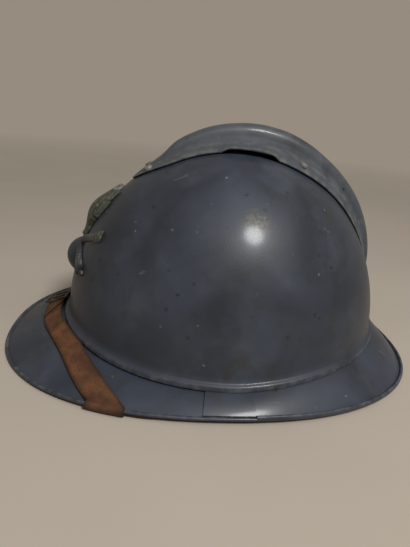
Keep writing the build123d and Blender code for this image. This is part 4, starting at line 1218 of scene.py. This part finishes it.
# The lace: a waxed cotton cord that runs in and out of the tongues' holes and sets how high
# the helmet rides.
lace_radius = 0.0009
lace_climb = 62.0
lace_gap = 0.0005
lace_dip = 0.0012
hole_reach, hole_sharpness = 7, 1.2
lace_steps = 196
lace_points = []
for step in range(lace_steps):
    angle = 360 * step / lace_steps
    nearest = min(abs((angle - spot + 180) % 360 - 180) for spot in tongue_angles)
    outside = 1 / (1 + 2.718 ** ((nearest - hole_reach) * hole_sharpness))
    spot = head_point(angle, lace_climb)
    centre = Vector((0, skull_set_back, spot.z))
    outwards = (spot - centre).normalized()
    spot += outwards * (lace_gap - (1 - outside) * lace_dip)
    spot.z += lace_radius + lace_gap
    lace_points.append(spot)
lace = tube("liner_lace_cord", lace_points, lace_radius, 10, closed=True)
put_on(lace, lace_cotton, "cotton", "liner_lace")

# The floor, the light and the camera, which belong to the picture and not to the helmet.
half_floor = 3.0
floor_corners = [(x * half_floor, y * half_floor, 0) for x, y in ((-1, -1), (1, -1), (1, 1), (-1, 1))]
floor_mesh = bpy.data.meshes.new("floor")
floor_mesh.from_pydata(floor_corners, [], [(0, 1, 2, 3)])
floor = shown("floor", floor_mesh)
floor_finish, shader, place = new_finish("floor", 0.9)
tree = place.id_data
weave = cloud(place, 5.0, 0.3, 0.7, detail=3.0)
coloured(shader, tint(weave, srgb(166, 155, 140), srgb(172, 161, 146)))
floor_near, floor_far = 0.45, 1.7
away = shader_node(tree, "VectorMath", {"operation": "LENGTH"}, {0: place}).outputs["Value"]
faded = ranged(away, floor_near, floor_far)
clear = tree.nodes.new("ShaderNodeBsdfTransparent").outputs[0]
edge_mix = shader_node(tree, "MixShader", {}, {0: faded, 1: shader.outputs[0], 2: clear})
tree.links.new(edge_mix.outputs[0], tree.nodes["Material Output"].inputs["Surface"])
floor_mesh.materials.append(floor_finish)

world = bpy.data.worlds.new("studio")
bpy.context.scene.world = world
world.use_nodes = True
tree = world.node_tree
room_light = tree.nodes["Background"]
room_light.inputs["Color"].default_value = (0.8, 0.8, 0.82, 1.0)
room_light.inputs["Strength"].default_value = 0.27
backdrop = shader_node(tree, "Background", {}, {"Color": srgb(150, 140, 127), "Strength": 1.0})
ray = tree.nodes.new("ShaderNodeLightPath")
seen = shader_node(
    tree,
    "Math",
    {"operation": "MAXIMUM"},
    {0: ray.outputs["Is Camera Ray"], 1: ray.outputs["Is Glossy Ray"]},
)
either = shader_node(
    tree,
    "MixShader",
    {},
    {0: seen.outputs[0], 1: room_light.outputs[0], 2: backdrop.outputs[0]},
)
tree.links.new(either.outputs[0], tree.nodes["World Output"].inputs["Surface"])

sky = bpy.data.lights.new("overhead", "SUN")
sky.energy = 0.7
sky.angle = radians(40)
overhead = shown("overhead", sky)
overhead.rotation_euler = (radians(-26), radians(20), 0)
overhead.visible_glossy = False
window_place, window_aim = Vector((0.79, 0.33, 1.0)), Vector((0.068, 0.011, 0.1))
pane = bpy.data.lights.new("window", "AREA")
pane.shape = "DISK"
pane.energy = 13.0
pane.size = 0.26
window = shown("window", pane)
window.location = window_place
window.rotation_euler = (window_aim - window_place).to_track_quat("-Z", "Y").to_euler()

view_point = Vector((0.30176, -0.04147, 0.16478))
view_target = Vector((0, -0.00688, 0.04931))
view_roll = radians(5.424)
forward = (view_target - view_point).normalized()
level_right = forward.cross(Vector((0, 0, 1))).normalized()
level_up = level_right.cross(forward)
right = level_right * cos(view_roll) + level_up * sin(view_roll)
up = level_up * cos(view_roll) - level_right * sin(view_roll)
camera_data = bpy.data.cameras.new("camera")
camera_data.sensor_fit = "VERTICAL"
camera_data.sensor_height = 36.0
camera_data.lens = 28.8
camera = shown("camera", camera_data)
turned = Matrix((right, up, -forward)).transposed().to_4x4()
turned.translation = view_point
camera.matrix_world = turned
bpy.context.scene.camera = camera
bpy.context.scene.view_settings.view_transform = "Standard"
